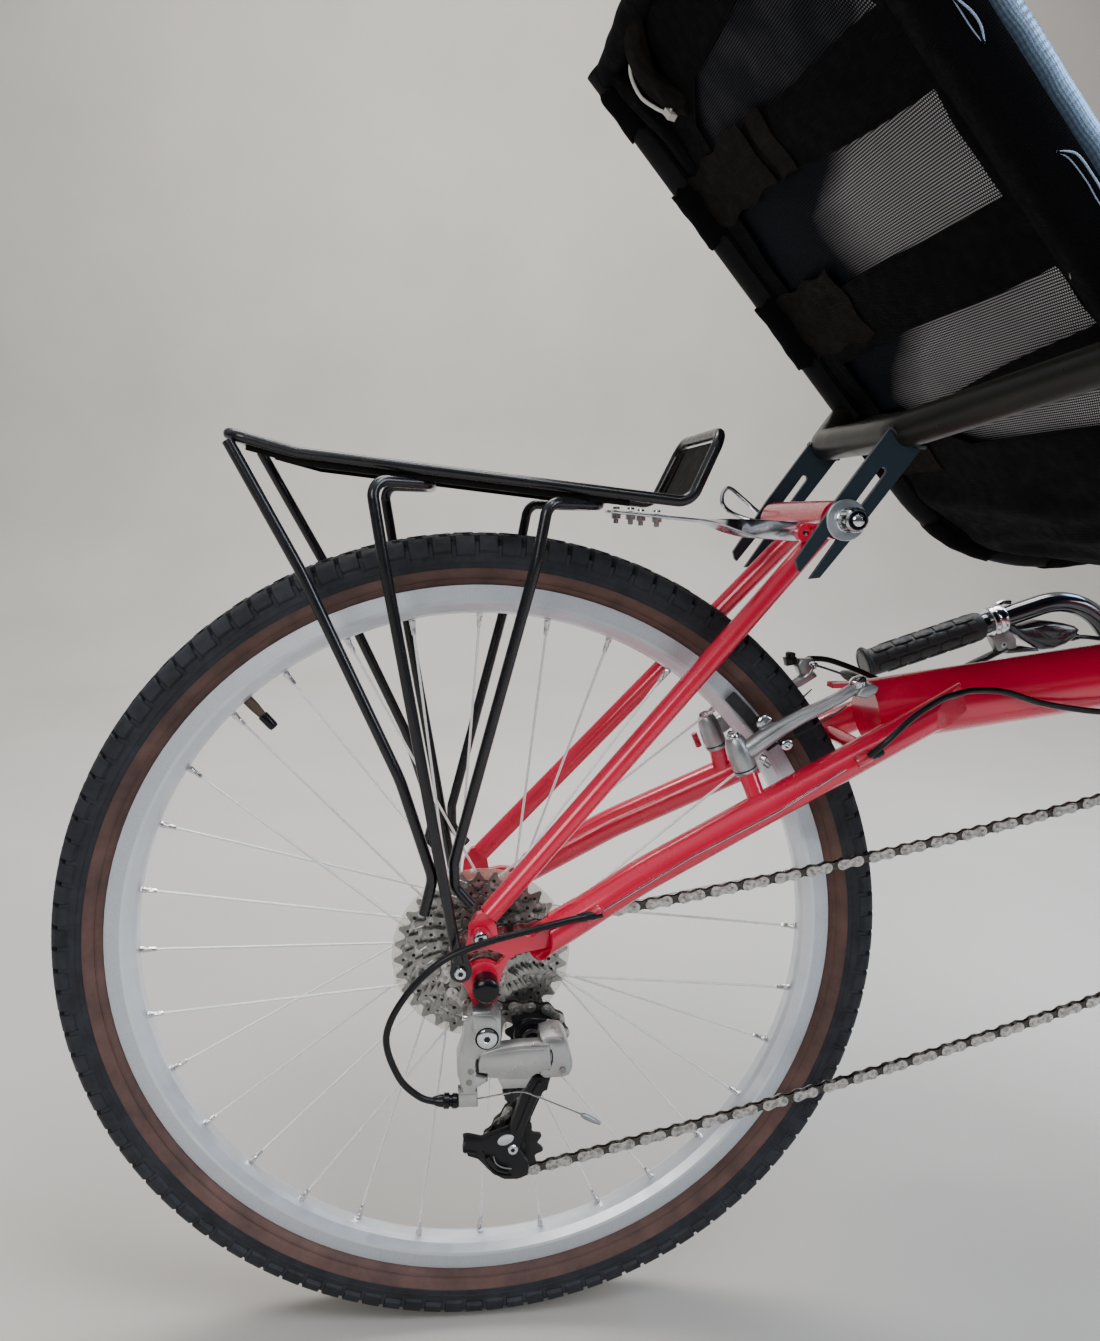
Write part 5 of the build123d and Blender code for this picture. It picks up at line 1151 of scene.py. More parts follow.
pc = Piece("rear_brake_detail", "frame", "brake_alloy", [BRAKE, CHROME, CAP_BLACK, DARK_STEEL, RED_WELD, CABLE, SILVER_DARK], 40)
for sy in (-1, 1):
    base, top = Vector((199.0, sy * 40.5, 149.2)), Vector((186.6, sy * 40.0, 177.4))
    d_ = (top - base).normalized()
    L = (top - base).length
    lathe(pc, base, d_, [(0, 6.2), (0, 8.6), (1.6, 9.3), (3.0, 8.3), (3.6, 9.2), (6.0, 9.5), (L * 0.55, 9.2), (L - 6, 8.2), (L - 2.4, 7.0),
                         (L - 1.2, 6.2), (L - 1.2, 3.4)], 28, 0)
    lathe(pc, base + d_ * 3.1, d_, [(0, 9.25), (0.5, 9.4), (1.0, 9.25)], 28, 3)
    socket_bolt(pc, top - d_ * 1.4, d_, 4.9, 3.2, 1 if sy < 0 else 3, 2, 2.2)
    # arm from the pivot to the cable end
    end = (285.4, sy * 38, 217.6) if sy < 0 else (272.0, sy * 36, 215.5)
    rows = [(193.0, sy * 41, 163.6, 7.4, 6.0), (201.0, sy * 42, 168.6, 7.6, 6.0), (210.5, sy * 42, 175.8, 7.2, 5.4),
            (224.0, sy * 42, 184.6, 6.3, 5.0), (240.0, sy * 41.4, 193.4, 5.4, 4.7), (255.0, sy * 41, 200.6, 4.9, 4.4),
            (268.0, sy * 40.2, 207.2, 4.7, 4.2), (277.0, sy * 39.2, 213.0, 4.6, 4.0), (end[0] - 2, end[1], end[2] - 1.4, 5.2, 4.0),
            (end[0] + 3.4, end[1], end[2] + 0.6, 4.4, 3.6)]
    limb(pc, rows, 0)
    tube(pc, smooth_line([(203.0, sy * 47.6, 171.0), (224.0, sy * 47.0, 185.4), (255.0, sy * 45.4, 201.4), (274.0, sy * 43.6, 211.4)], 5),
         1.3, 8, 0)
    # spring wires beside the arm, tension screw
    for o_ in (0.0, 2.2):
        tube(pc, smooth_line([(205.0, sy * (35 - o_), 160.0), (212.0, sy * (34 - o_), 166.0), (235.0, sy * (34 - o_), 174.6 - o_),
                              (264.0, sy * (35 - o_), 190.6), (276.5, sy * 36, 200.4)], 4), 0.55, 6, 3)
    socket_bolt(pc, (209.5, sy * 40.5, 160.8), (0.62, sy * 0.5, -0.2), 2.6, 4.2, 1, 2, 1.1)
    socket_bolt(pc, (213.6, sy * 38.5, 155.6), (0.6, sy * 0.5, -0.45), 2.1, 4.6, 6, 2, 0.9)
    lathe(pc, (213, sy * 30, 186), (0, sy, 0), [(0, 3.2), (4, 3.2), (4, 6.4), (6.0, 6.4), (7.0, 5.0), (7.0, 3.6), (7.6, 0.1)], 22, 1)
    lathe(pc, (232.4, sy * 28, 168.4), (0, sy, 0), [(0, 2.2), (0, 4.6), (6.0, 4.6), (6.6, 3.6), (6.6, 2.2), (3.0, 2.2)], 20, 1)
# round end bolt with an anchor plate on the right arm
lathe(pc, (284.2, -38, 216.0), Vector((-0.42, -0.25, 0.87)), [(-3, 4.0), (0, 4.2), (2.2, 6.4), (5.4, 6.6), (6.6, 5.4), (7.2, 3.0), (6.6, 0.1)],
      26, 1)
bevelled(pc, [(280.0, 209.0), (289.0, 207.5), (296.0, 212.0), (297.4, 216.8), (292.0, 219.4), (283.0, 215.0)], -45.0, -35.0, 1.2, 0)
lathe(pc, (287.0, -36, 220.0), (-0.1, 1.0, 0.04), [(0, 2.0), (0, 3.4), (5, 3.4), (8, 4.0), (20, 4.2), (26, 3.4), (30, 2.4)], 14, 2)
# cable across, noodle end and clamp on the left arm
tube(pc, smooth_line([(284.0, -34, 221.0), (279.0, -8, 222.0), (275.0, 16, 222.6), (271.0, 34, 222.6)], 5), 1.0, 8, 3)
lathe(pc, (273.0, 22, 222.4), Vector((-2.0, 14.0, 0.3)), [(0, 1.8), (1, 2.8), (5, 3.0), (8, 2.2)], 12, 1)
bevelled(pc, [(264.0, 226.0), (275.0, 226.5), (277.5, 219.0), (274.0, 212.5), (265.0, 213.0), (261.5, 219.5)], 33.0, 42.0, 1.5, 0)
bevelled(pc, [(252.0, 226.5), (262.0, 227.5), (263.0, 221.0), (254.0, 219.5)], 36.0, 43.5, 1.4, 3)
lathe(pc, (257.0, 39, 228.0), (0.1, 0, 1), [(-2, 3.0), (0, 4.2), (2.6, 4.2), (3.4, 3.0), (3.4, 0.1)], 14, 3)
for sy in (1,):
    lathe(pc, (181.0, sy * 46, 157.0), Vector((0.42, 0.0, -0.9)), [(-3, 2.6), (9, 2.6), (9.6, 1.6)], 10, 4)
    for i in range(6):
        lathe(pc, Vector((181.0, sy * 46, 157.0)) + Vector((0.42, 0, -0.9)) * (-1 + 1.9 * i), Vector((0.42, 0, -0.9)),
              [(0, 2.5), (0.5, 3.1), (1.0, 2.5)], 10, 4)
pc.build(weld=False, replaces=("rear_brake_arms",))

# ---------------------------------------------------------------------------
# Handlebar grips with raised blocks, brake levers
# ---------------------------------------------------------------------------
GRIP_D = Vector((232.0, 0, 81.0)).normalized()
GRIP_N = Vector((GRIP_D.z, 0, -GRIP_D.x))
grip_pc = Piece("grip_blocks", "handlebar", "grip_rubber", [GRIP_MAT, CAP_BLACK], 40)
lever_pc = Piece("lever_detail", "handlebar", "lever_alloy", [LEVER, CHROME, SILVER_DARK, CABLE, CAP_BLACK], 35)
for sy in (-1, 1):
    g0 = Vector((418, sy * 240, 193))

    def gp(a, d, y=0.0, g0=g0, sy=sy):
        return g0 + GRIP_D * a + GRIP_N * d + Vector((0, sy * y, 0))
    lathe(grip_pc, gp(-4.6, 0), GRIP_D, [(0, 11.4), (0, 16.5), (1.0, 18.4), (3.2, 18.8), (4.6, 17.8), (6.0, 15.0), (9.0, 14.6), (122.0, 14.4),
                                        (124.0, 15.6), (130.0, 15.6), (132.0, 14.6), (134.0, 14.2), (134.0, 11.4)], 36, 0)
    lathe(grip_pc, gp(-4.7, 0), -GRIP_D, [(0, 16.2), (0.8, 15.8), (1.2, 13.0), (0.6, 12.6), (0.6, 0.1)], 36, 1)
    # staggered rounded blocks
    cols, rows_ = 5, 8
    for r_ in range(rows_):
        a_mid = 2 * pi * (r_ + 0.5) / rows_
        for c_ in range(cols):
            a0 = 6.0 + 23.2 * c_ + (11.6 if r_ % 2 else 0.0)
            a1 = min(a0 + 21.2, 120.0)
            if a1 - a0 < 6:
                continue
            verts, faces = [], []
            half = pi / rows_ * 0.86
            grid = [(-1, -1), (-1, 1), (1, 1), (1, -1)]
            ring1 = []
            for rr, shrink in ((14.2, 0.0), (15.7, 0.6), (16.0, 2.2)):
                lo, hi = a0 + shrink, a1 - shrink
                for q in range(12):
                    # rounded rectangle in (length, angle)
                    t = q / 12
                    seg, f = divmod(t * 4, 1)
                    corners = [(lo, -1), (hi, -1), (hi, 1), (lo, 1)]
                    p0, p1 = corners[int(seg)], corners[(int(seg) + 1) % 4]
                    ff = (0.14, 0.5, 0.86)[q % 3]
                    u_ = p0[0] + (p1[0] - p0[0]) * ff
                    v_ = p0[1] + (p1[1] - p0[1]) * ff
                    an = a_mid + v_ * half * (1 - shrink * 0.05)
                    verts.append(gp(u_, rr * cos(an)) + Vector((0, rr * sin(an), 0)))
            for lv in range(2):
                for q in range(12):
                    q2 = (q + 1) % 12
                    faces.append((lv * 12 + q, lv * 12 + q2, (lv + 1) * 12 + q2, (lv + 1) * 12 + q))
            ctr = len(verts)
            am = (a0 + a1) / 2
            verts.append(gp(am, 16.15 * cos(a_mid)) + Vector((0, 16.15 * sin(a_mid), 0)))
            faces += [(24 + q, 24 + (q + 1) % 12, ctr) for q in range(12)]
            faces.append(tuple(reversed(range(12))))
            grip_pc.add(verts, faces, 0)

    def ad_plate(pts, y0, y1, mat, edge=1.2, gp=gp, sy=sy):
        outline = [(gp(a, d).x, gp(a, d).z) for a, d in pts]
        bevelled(lever_pc, outline, sy * 240 - y0, sy * 240 + y1, edge, mat)
    # clamp ring, bracket, body, blade, cable end
    lathe(lever_pc, gp(139.0, 0), GRIP_D, [(0, 11.2), (0, 15.2), (1.0, 16.2), (5.0, 16.6), (7.0, 15.4), (9.0, 16.4), (14.0, 16.4), (16.0, 15.2),
                                          (16.0, 11.2)], 32, 1)
    tube(lever_pc, [gp(153, -15.6), gp(160, -16.4), gp(168, -13.6)], 2.4, 8, 1)
    socket_bolt(lever_pc, gp(147, -3, 15.5), Vector((0, sy, 0)), 3.6, 3.0, 1, 4, 1.7)
    ad_plate([(136.0, 15.0), (158.0, 14.0), (163.0, 26.0), (161.2, 36.0), (146.0, 37.0), (139.7, 32.0)], 5.0, 5.0, 2)
    ad_plate([(152.0, 4.0), (159.0, 3.5), (166.6, 12.8), (176.1, 14.4), (192.0, 14.6), (206.0, 20.0), (218.0, 26.0), (229.0, 33.0),
              (233.0, 38.5), (226.0, 45.5), (214.0, 49.0), (200.0, 49.5), (186.0, 46.0), (177.0, 36.0), (168.0, 27.0),
              (158.0, 14.0)], 8.5, 8.5, 0, 3.2)
    ad_plate([(182.0, 20.0), (196.0, 21.0), (210.0, 27.0), (220.0, 34.0), (210.0, 39.0), (194.0, 36.0)], 9.6, 9.6, 0, 1.4)
    ad_plate([(168.0, 36.0), (184.0, 44.0), (186.0, 47.5), (168.0, 43.0), (150.0, 38.5), (150.0, 33.0)], 5.5, 5.5, 0, 1.6)
    ad_plate([(58.0, 41.0), (62.0, 38.8), (80.0, 40.6), (110.0, 36.0), (133.9, 33.2), (152.0, 30.6), (154.0, 35.4), (133.0, 38.6),
              (110.0, 41.6), (84.0, 46.2), (64.0, 45.8), (59.0, 44.6)], 5.5, 5.5, 0, 2.0)
    socket_bolt(lever_pc, gp(147.5, 27.0, 5.2), Vector((0, sy, 0)), 3.4, 1.8, 1, 4, 1.5)
    socket_bolt(lever_pc, gp(147.5, 27.0, -5.2), Vector((0, -sy, 0)), 3.4, 1.8, 1, 4, 1.5)
    lathe(lever_pc, gp(222.0, 44.0), GRIP_D + GRIP_N * 0.30, [(0, 2.8), (0, 4.6), (7.0, 4.6), (8.0, 3.6), (12.0, 3.4), (13.0, 2.5)], 14, 4)
    tube(lever_pc, smooth_line([gp(234.0, 47.6), gp(250.0, 54.0, -2), gp(272.0, 66.0, -14), (gp(290.0, 84.0, -40))], 5), 2.4, 10, 3)
grip_pc.build(weld=False, replaces=("grips",))
lever_pc.build(weld=False, replaces=("brake_levers",))

# ---------------------------------------------------------------------------
# Seat fabric: open mesh between the side tubes, black straps and hems behind it, sleeves round the tubes
# ---------------------------------------------------------------------------
TOPV, CORV, FRV, BEND = Vector((104, 0, 742)), Vector((497, 0, 303)), Vector((768, 0, 342)), 190.0
D1, D2 = (CORV - TOPV).normalized(), (FRV - CORV).normalized()
TURN = D1.angle(D2)
TAN_L = BEND * tan(TURN / 2)
S1 = (CORV - TOPV).length - TAN_L
S2 = S1 + BEND * TURN
S_END = S2 + (FRV - CORV).length - TAN_L
BACK1, BACK2 = Vector((D1.z, 0, -D1.x)), Vector((D2.z, 0, -D2.x))
TUBE_Y = 208.0


def seat_dir(s):
    """Direction along the seat and its back normal at s, in mm along the side tubes from the top."""
    if s <= S1:
        return D1, BACK1
    if s < S2:
        q = Matrix.Rotation(-(s - S1) / BEND, 3, "Y")
        return q @ D1, q @ BACK1
    return D2, BACK2


def seat_at(s, y, off=0.0):
    d, nb = seat_dir(s)
    if s <= S1:
        p = TOPV + D1 * s
    elif s < S2:
        p = TOPV + D1 * S1 - BACK1 * BEND + nb * BEND
    else:
        p = CORV + D2 * (TAN_L + s - S2)
    return p + nb * off + Vector((0, y, 0))


def patch(pc, grid, off, thick, mat=0):
    """Closed cloth slab over a grid of (s, y) points; off(s, y) is its front face behind the seat plane."""
    rows, cols = len(grid), len(grid[0])
    v, uv = [], []
    for t in (0.0, thick):
        for row in grid:
            for s, y in row:
                v.append(seat_at(s, y, off(s, y) + t))
                uv.append((y / 1000, s / 1000))
    k = rows * cols
    f = []
    for i in range(rows - 1):
        for j in range(cols - 1):
            a = i * cols + j
            f += [(a, a + 1, a + cols + 1, a + cols), (k + a + cols, k + a + cols + 1, k + a + 1, k + a)]
    for j in range(cols - 1):
        b = (rows - 1) * cols + j
        f += [(j, k + j, k + j + 1, j + 1), (b, b + 1, k + b + 1, k + b)]
    for i in range(rows - 1):
        a, b = i * cols, i * cols + cols - 1
        f += [(a, a + cols, k + a + cols, k + a), (b, k + b, k + b + cols, b + cols)]
    pc.add(v, f, mat, uv)


def lerp_table(table, x):
    if x <= table[0][0]:
        return table[0][1]
    for (a, u), (b, v) in zip(table, table[1:]):
        if x <= b:
            return u + (v - u) * (x - a) / (b - a)
    return table[-1][1]


def spread(a, b, step):
    k = max(2, int(abs(b - a) / step) + 1)
    return [a + (b - a) * i / k for i in range(k + 1)]


def evenly(a, b, k):
    return [a + (b - a) * i / k for i in range(k + 1)]


# struts: flat at the rack, twisted upright at the stay
def ribbon(pc, rows, thick, mat=0):
    """Strip from rows of (x, y, z, half width, twist degrees); twist 0 lies flat, 90 stands on edge."""
    verts, faces = [], []
    k = len(rows)
    for i, (x, y, z, hw, tw) in enumerate(rows):
        a0, a1 = rows[max(i - 1, 0)], rows[min(i + 1, k - 1)]
        d = Vector((a1[0] - a0[0], a1[1] - a0[1], a1[2] - a0[2])).normalized()
        flat = (Vector((0, 1, 0)) - d * d.y).normalized()
        w_ = Matrix.Rotation(radians(tw), 3, d) @ flat
        n_ = d.cross(w_).normalized()
        for sw, sn in ((-1, -0.5), (-0.93, -1), (0.93, -1), (1, -0.5), (1, 0.5), (0.93, 1), (-0.93, 1), (-1, 0.5)):
            verts.append(Vector((x, y, z)) + w_ * hw * sw + n_ * thick / 2 * sn)
    for i in range(k - 1):
        for j in range(8):
            j2 = (j + 1) % 8
            faces.append((i * 8 + j, i * 8 + j2, (i + 1) * 8 + j2, (i + 1) * 8 + j))
    faces += [tuple(reversed(range(8))), tuple((k - 1) * 8 + j for j in range(8))]
    pc.add(verts, faces, mat)


pc = Piece("rack_strut_strips", "frame", "polished_strip", [POLISHED, CHROME, DARK_STEEL], 50)
for sy in (-1, 1):
    rows = []
    for t in range(41):
        x = 92.0 + (239.0 - 92.0) * t / 40
        y = lerp_table(((92, 14), (135, 14), (170, 19), (200, 27.5), (214, 30.8), (240, 30.8)), x)
        z = lerp_table(((92, 342.5), (135, 339.5), (172, 337.0), (205, 332.6), (240, 331.0)), x)
        tw = lerp_table(((92, 0), (160, 0), (176, 16), (192, 56), (204, 82), (212, 90), (240, 90)), x)
        hw = lerp_table(((92, 6.0), (170, 6.0), (205, 7.0), (228, 7.2), (236, 6.0), (240, 3.4)), x)
        rows.append((x, sy * y, z, hw, -sy * tw))
    ribbon(pc, rows, 2.2, 0)
    socket_bolt(pc, (233.0, sy * 32.0, 331.0), (0, sy, 0), 3.6, 2.4, 1, 2, 1.7)
pc.build(weld=False, replaces=("rack_struts",))

pc = Piece("cable_runs", "frame", "cable_black", [CABLE, CAP_BLACK, CHROME], 40)
tube(pc, smooth_line([(84.0, -82.6, 54.6), (60.0, -85.0, 51.4), (29, -88.0, 44.9), (-1, -90.5, 38), (-31, -92, 25.6), (-56.5, -92, -0.5),
                      (-69.5, -92, -30.7), (-61.0, -90.5, -62), (-46, -86.5, -81), (-33, -85, -86.6)], 9), 2.5, 12, 0)
tube(pc, smooth_line([(286.5, -60.5, 167.0), (297.4, -66.0, 180.0), (315.7, -64.5, 196.9), (339.7, -58, 209.6), (356.2, -52.5, 213.3),
                      (373.9, -46.5, 215.2), (402.2, -40, 213.0), (435.6, -35, 203.8), (467.9, -32, 198.4), (490.3, -31.2, 196.2),
                      (534.0, -30.2, 194.0), (570, -27, 199), (628, -18.5, 216)], 7), 2.5, 12, 0)
tube(pc, smooth_line([(277, 40, 222.8), (277, 50, 224), (286, 57, 223.5), (300, 56, 222), (324, 54, 214), (345, 50, 205)], 6), 2.5, 12, 0)
pc.build(weld=False, replaces=("cables",))

# open mesh, stretched with a slight hollow and long soft ripples
def sling_off(s, y):
    return -1.4 + 1.2 * sin(s / 37.0 + y / 90.0) * (1 - (y / 196) ** 2) + 0.5 * sin(y / 17.0 + s / 60.0) * (abs(y) / 196)


mesh_pc = Piece("seat_mesh", "frame", "sling_mesh", [PAINTED_LIGHT_MESH, FRONT_MESH], 60)
mesh_grid = [[(s, y) for y in spread(196, -196, 14)] for s in spread(24, 820, 9)]
patch(mesh_pc, mesh_grid, sling_off, 0.7)
# the side towards the rider, every other face of the two layers
for q in range(0, 2 * (len(mesh_grid) - 1) * (len(mesh_grid[0]) - 1), 2):
    mesh_pc.mi[q] = 1
seat_mesh = mesh_pc.build(weld=True, replaces=("seat_sling",))

# windows: upper and lower edge as (s on the centre line, slope over y), far edge and near edge as (s, y)
WINDOWS = [((82, 0.0), (140, -0.083), ((82, 62), (108, 108), (155, 117)), ((82, -160), (155, -168))),
           ((192.7, -0.095), (281, 0.0), ((186, 150), (283, 160)), ((186, -170), (283, -168))),
           ((337.5, 0.03), (396, 0.126), ((334, 150), (388, 150)), ((332, -172.6), (374, -177.6))),
           ((421, 0.126), (446, 0.0), ((418, 100), (430, 90), (446, 40)), ((398, -181), (446, -176)))]


def edge_s(e, y):
    """A window's upper or lower edge at y, a little wavy."""
    return e[0] + e[1] * y + 1.3 * sin(y / 41.0 + e[0])


def bump_at(v, c, w):
    return math.exp(-((v - c) / w) ** 2)


def back_off(s, y):
    """Straps behind the mesh: gentle waves, deeper creases on the seat's underside."""
    w = 1.1 + 0.9 * sin(s / 21.0 + y / 47.0) + 0.6 * sin(s / 9.0 - y / 31.0) * bump_at(s, 300, 60)
    if s > 430:
        t = min(1.0, (s - 430) / 60)
        w += t * (5.0 * bump_at(s + 0.10 * y, 520, 13) + 3.6 * bump_at(s - 0.06 * y, 556, 9)
                  + 5.5 * bump_at(s + 0.16 * y, 610, 14) + 3.0 * bump_at(s + 0.02 * y, 655, 10)
                  + 4.0 * bump_at(s - 0.1 * y, 710, 16) + 1.2 * sin(y / 23.0 + s / 40.0))
    return 1.2 + max(w, 0.1) * max(0.1, min(1.0, (194 - abs(y)) / 24 + 0.15))


strap_pc = Piece("seat_straps", "frame", "sling_mesh", [STRAP, SLEEVE_BROWN, THREAD], 60)
last = (26.0, 0.0)
for e0, e1, far, near in WINDOWS:
    # full band above this window
    k_rows = max(4, int((e0[0] - last[0]) / 6))
    grid = []
    for i in range(k_rows + 1):
        t = i / k_rows
        grid.append([((last[0] if last[0] < 30 else edge_s(last, y)) * (1 - t) + edge_s(e0, y) * t, y)
                     for y in spread(201, -201, 9)])
    patch(strap_pc, grid, back_off, 1.3)
    # side panels beside the window
    for table, side in ((far, 1), (near, -1)):
        grid = []
        yt = table[0][1]
        k_rows = max(4, int((edge_s(e1, yt) - edge_s(e0, yt)) / 6))
        for i in range(k_rows + 1):
            t = i / k_rows
            sn = edge_s(e0, yt) * (1 - t) + edge_s(e1, yt) * t
            ye = lerp_table(table, sn) + 0.8 * sin(sn / 7.0)
            grid.append([(edge_s(e0, y) * (1 - t) + edge_s(e1, y) * t, y) for y in evenly(side * 201, ye, 10)])
        patch(strap_pc, grid, back_off, 1.3)
    last = e1
k_rows = int((818 - last[0]) / 5)
grid = [[(edge_s(last, y) * (1 - i / k_rows) + 818 * i / k_rows, y) for y in spread(201, -201, 6)] for i in range(k_rows + 1)]
patch(strap_pc, grid, back_off, 1.3)
# hem strip with a folded edge down the far side, and worn strap ends from the far sleeves
for y0, y1 in ((201, 186),):
    patch(strap_pc, [[(s, y) for y in evenly(y0, y1 + 1.5 * sin(s / 33.0), 3)] for s in spread(27, 816, 8)],
          lambda s, y: back_off(s, y) + 1.4, 1.1)
for s0, s1, ya, yb in ((128, 183, 196, 48), (134, 188, 36, 8), (262, 330, 196, 66), (402, 470, 196, 110), (40, 66, 196, 150)):
    patch(strap_pc, [[(s + 2.2 * sin(y / 9.0 + s0) * (1 if yb < 100 else .4), y + 2 * sin(s / 6.0)) for y in spread(ya, yb, 6)]
                     for s in spread(s0, s1, 5)],
          lambda s, y, k=s0: back_off(s, y) + 1.6 + 0.9 * sin(s / 6.0 + k) * sin(y / 19.0), 1.1, 1)
# rows of stitches beside the windows
for e0, e1, far, near in WINDOWS:
    for e_, step_ in ((e0, -3.0), (e1, 3.0)):
        q, yb = lerp_table(far, e_[0]), lerp_table(near, e_[0])
        while q - 3 > yb:
            sa, sb = edge_s(e_, q) + step_, edge_s(e_, q - 2.4) + step_
            tube(strap_pc, [seat_at(sa, q, back_off(sa, q) + 1.35), seat_at(sb, q - 2.4, back_off(sb, q - 2.4) + 1.35)],
                 0.28, 4, 0)
            q -= 4.0
straps = strap_pc.build(weld=False)

# front hems on the rider's side
front_pc = Piece("seat_front_hems", "frame", "sling_mesh", [STRAP], 60)
for y0, y1 in ((-196, -150), (150, 196)):
    patch(front_pc, [[(s, y) for y in spread(y0, y1, 6)] for s in spread(26, 818, 8)],
          lambda s, y: sling_off(s, y) - 1.7 - 0.5 * sin(s / 15.0 + y / 9.0), 1.1)
for s0, s1 in ((26, 74), (772, 818)):
    patch(front_pc, [[(s, y) for y in spread(196, -196, 8)] for s in spread(s0, s1, 6)],
          lambda s, y: sling_off(s, y) - 2.5 - 0.4 * sin(s / 9.0 + y / 21.0), 1.0)
front_pc.build(weld=False)


def sleeve(pc, y, s0, s1, r, ragged=0.0, mat=0, n=30, wob=0.25, step=3.0, seed=0.0):
    """Cloth sleeve round a side tube, open ends turned in, cross ribs by UV."""
    rows = spread(s0, s1, step)
    verts, uv, faces = [], [], []
    for i, s in enumerate(rows):
        for j in range(n):
            a = 2 * pi * j / n
            d, nb = seat_dir(s)
            rr = r + wob * sin(s / 11.0 + 2 * a + seed) + 0.5 * wob * sin(s / 3.7 - a)
            ss = s
            if ragged and i in (0, 1):
                ss = s + ragged * (0.6 * sin(5 * a + seed) + 0.4 * sin(11 * a + seed * 3)) * (1 if i == 0 else 0.5)
            if ragged and i in (len(rows) - 1, len(rows) - 2):
                ss = s + ragged * (0.6 * sin(4 * a + seed + 1) + 0.4 * sin(9 * a + seed)) * (1 if i == len(rows) - 1 else 0.5)
            base = seat_at(ss, y)
            verts.append(base + nb * rr * cos(a) + Vector((0, rr * sin(a), 0)))
            uv.append((a * r / 1000, s / 1000))
    k = len(rows)
    for i in range(k - 1):
        for j in range(n):
            j2 = (j + 1) % n
            faces.append((i * n + j, i * n + j2, (i + 1) * n + j2, (i + 1) * n + j))
    # inside wall on the tube, joined to the outside at both ends
    marks = list(range(0, k - 1, 5)) + [k - 1]
    base_i = len(verts)
    for i in marks:
        d, nb = seat_dir(rows[i])
        end = i in (0, k - 1)
        for j in range(n):
            a = 2 * pi * j / n
            c = seat_at(rows[i], y)
            if end and ragged:
                c = c + d * (verts[i * n + j] - c).dot(d)
            verts.append(c + (nb * cos(a) + Vector((0, sin(a), 0))) * 15.3)
            uv.append((a * r / 1000, rows[i] / 1000))
    for m_ in range(len(marks) - 1):
        for j in range(n):
            j2 = (j + 1) % n
            q = base_i + m_ * n
            faces.append((q + j2, q + j, q + n + j, q + n + j2))
    last_ = base_i + (len(marks) - 1) * n
    for j in range(n):
        j2 = (j + 1) % n
        faces.append((j2, j, base_i + j, base_i + j2))
        faces.append(((k - 1) * n + j, (k - 1) * n + j2, last_ + j2, last_ + j))
    pc.add(verts, faces, mat, uv)


sleeve_pc = Piece("seat_sleeves", "frame", "sling_mesh", [SLEEVE, STRAP, SLEEVE_BROWN], 60)


def pad_shape(s):
    """The near sleeve's centre (y, behind the plane) and radius at s; thicker along the back rest."""
    t = max(0.0, min(1.0, (500 - s) / 90.0))
    t = t * t * (3 - 2 * t)
    return -TUBE_Y - 3.5 * t, -5.5 * t, 17.2 + 5.6 * t, t


def pad_ring(s, k=34):
    """Outline of the near sleeve at s: most of a circle, and a flat wedge in to the straps."""
    cy, cn, r, t = pad_shape(s)
    r += 0.16 * sin(s / 11.0) + 0.08 * sin(s / 3.7)
    wy, wn = -TUBE_Y + 20.0 + 12.0 * t, 3.4
    dy, dn = wy - cy, wn - cn
    dist = math.hypot(dy, dn)
    mid_a = math.atan2(dy, dn)
    half = math.acos(min(1.0, r / dist))
    pts = []
    for i in range(k + 1):
        a = mid_a + half + (2 * pi - 2 * half) * i / k
        pts.append((cy + r * sin(a), cn + r * cos(a)))
    for i in range(1, 6):
        t_ = i / 6.0
        pts.append((pts[k][0] + (wy - pts[k][0]) * t_, pts[k][1] + (wn - pts[k][1]) * t_))
    pts.append((wy, wn))
    for i in range(1, 6):
        t_ = i / 6.0
        pts.append((wy + (pts[0][0] - wy) * t_, wn + (pts[0][1] - wn) * t_))
    return pts


rows_ = spread(20, 820, 4)
verts_, uv_, faces_ = [], [], []
for s_ in rows_:
    ring_, run_ = pad_ring(s_), 0.0
    for i, (y_r, n_r) in enumerate(ring_):
        if i:
            run_ += math.hypot(y_r - ring_[i - 1][0], n_r - ring_[i - 1][1])
        verts_.append(seat_at(s_, y_r, n_r))
        uv_.append((run_ / 1000, s_ / 1000))
m_ = len(ring_)
for i in range(len(rows_) - 1):
    for j in range(m_):
        j2 = (j + 1) % m_
        faces_.append((i * m_ + j, i * m_ + j2, (i + 1) * m_ + j2, (i + 1) * m_ + j))
caps_ = [tuple(reversed(range(m_))), tuple((len(rows_) - 1) * m_ + j for j in range(m_))]
# the part that runs in to the straps is plain strap cloth
cut_ = max(q for q in range(m_) if uv_[q][0] <= 0.0625)
sleeve_pc.add(verts_, faces_ + caps_, 0, uv_)
base_f = len(sleeve_pc.mi) - len(faces_) - 2
for q, f_ in enumerate(faces_ + caps_):
    if len(f_) > 4 or f_[0] % m_ >= cut_:
        sleeve_pc.mi[base_f + q] = 1
for i, (s0, s1) in enumerate(((22, 66), (129, 187), (258, 329), (400, 470), (530, 600), (660, 730), (780, 818))):
    sleeve(sleeve_pc, TUBE_Y, s0, s1, 17.4, 3.2, 1, 28, 0.5, 3.0, i * 1.7)
# sleeve round the top cross bar, joined to the top band
top_bar = []
for y in spread(198, -198, 6):
    w = 0.8 * sin(y / 11.0) + 0.5 * sin(y / 4.3)
    top_bar.append(Vector((112, y, 733 + 0.3 * w)))
tube(sleeve_pc, top_bar, 13.2, 22, 1, rs=[13.2 + 0.35 * sin(y.y / 7.0) for y in top_bar])
sleeves = sleeve_pc.build(weld=False)

# slits in the near sleeve with pale blue thread edges, stray threads, zip tie, rolled cloth
bits = Piece("seat_thread_and_tie", "frame", "sling_mesh", [THREAD, THREAD_WHITE, ZIP, SLEEVE_BROWN, STRAP], 50)


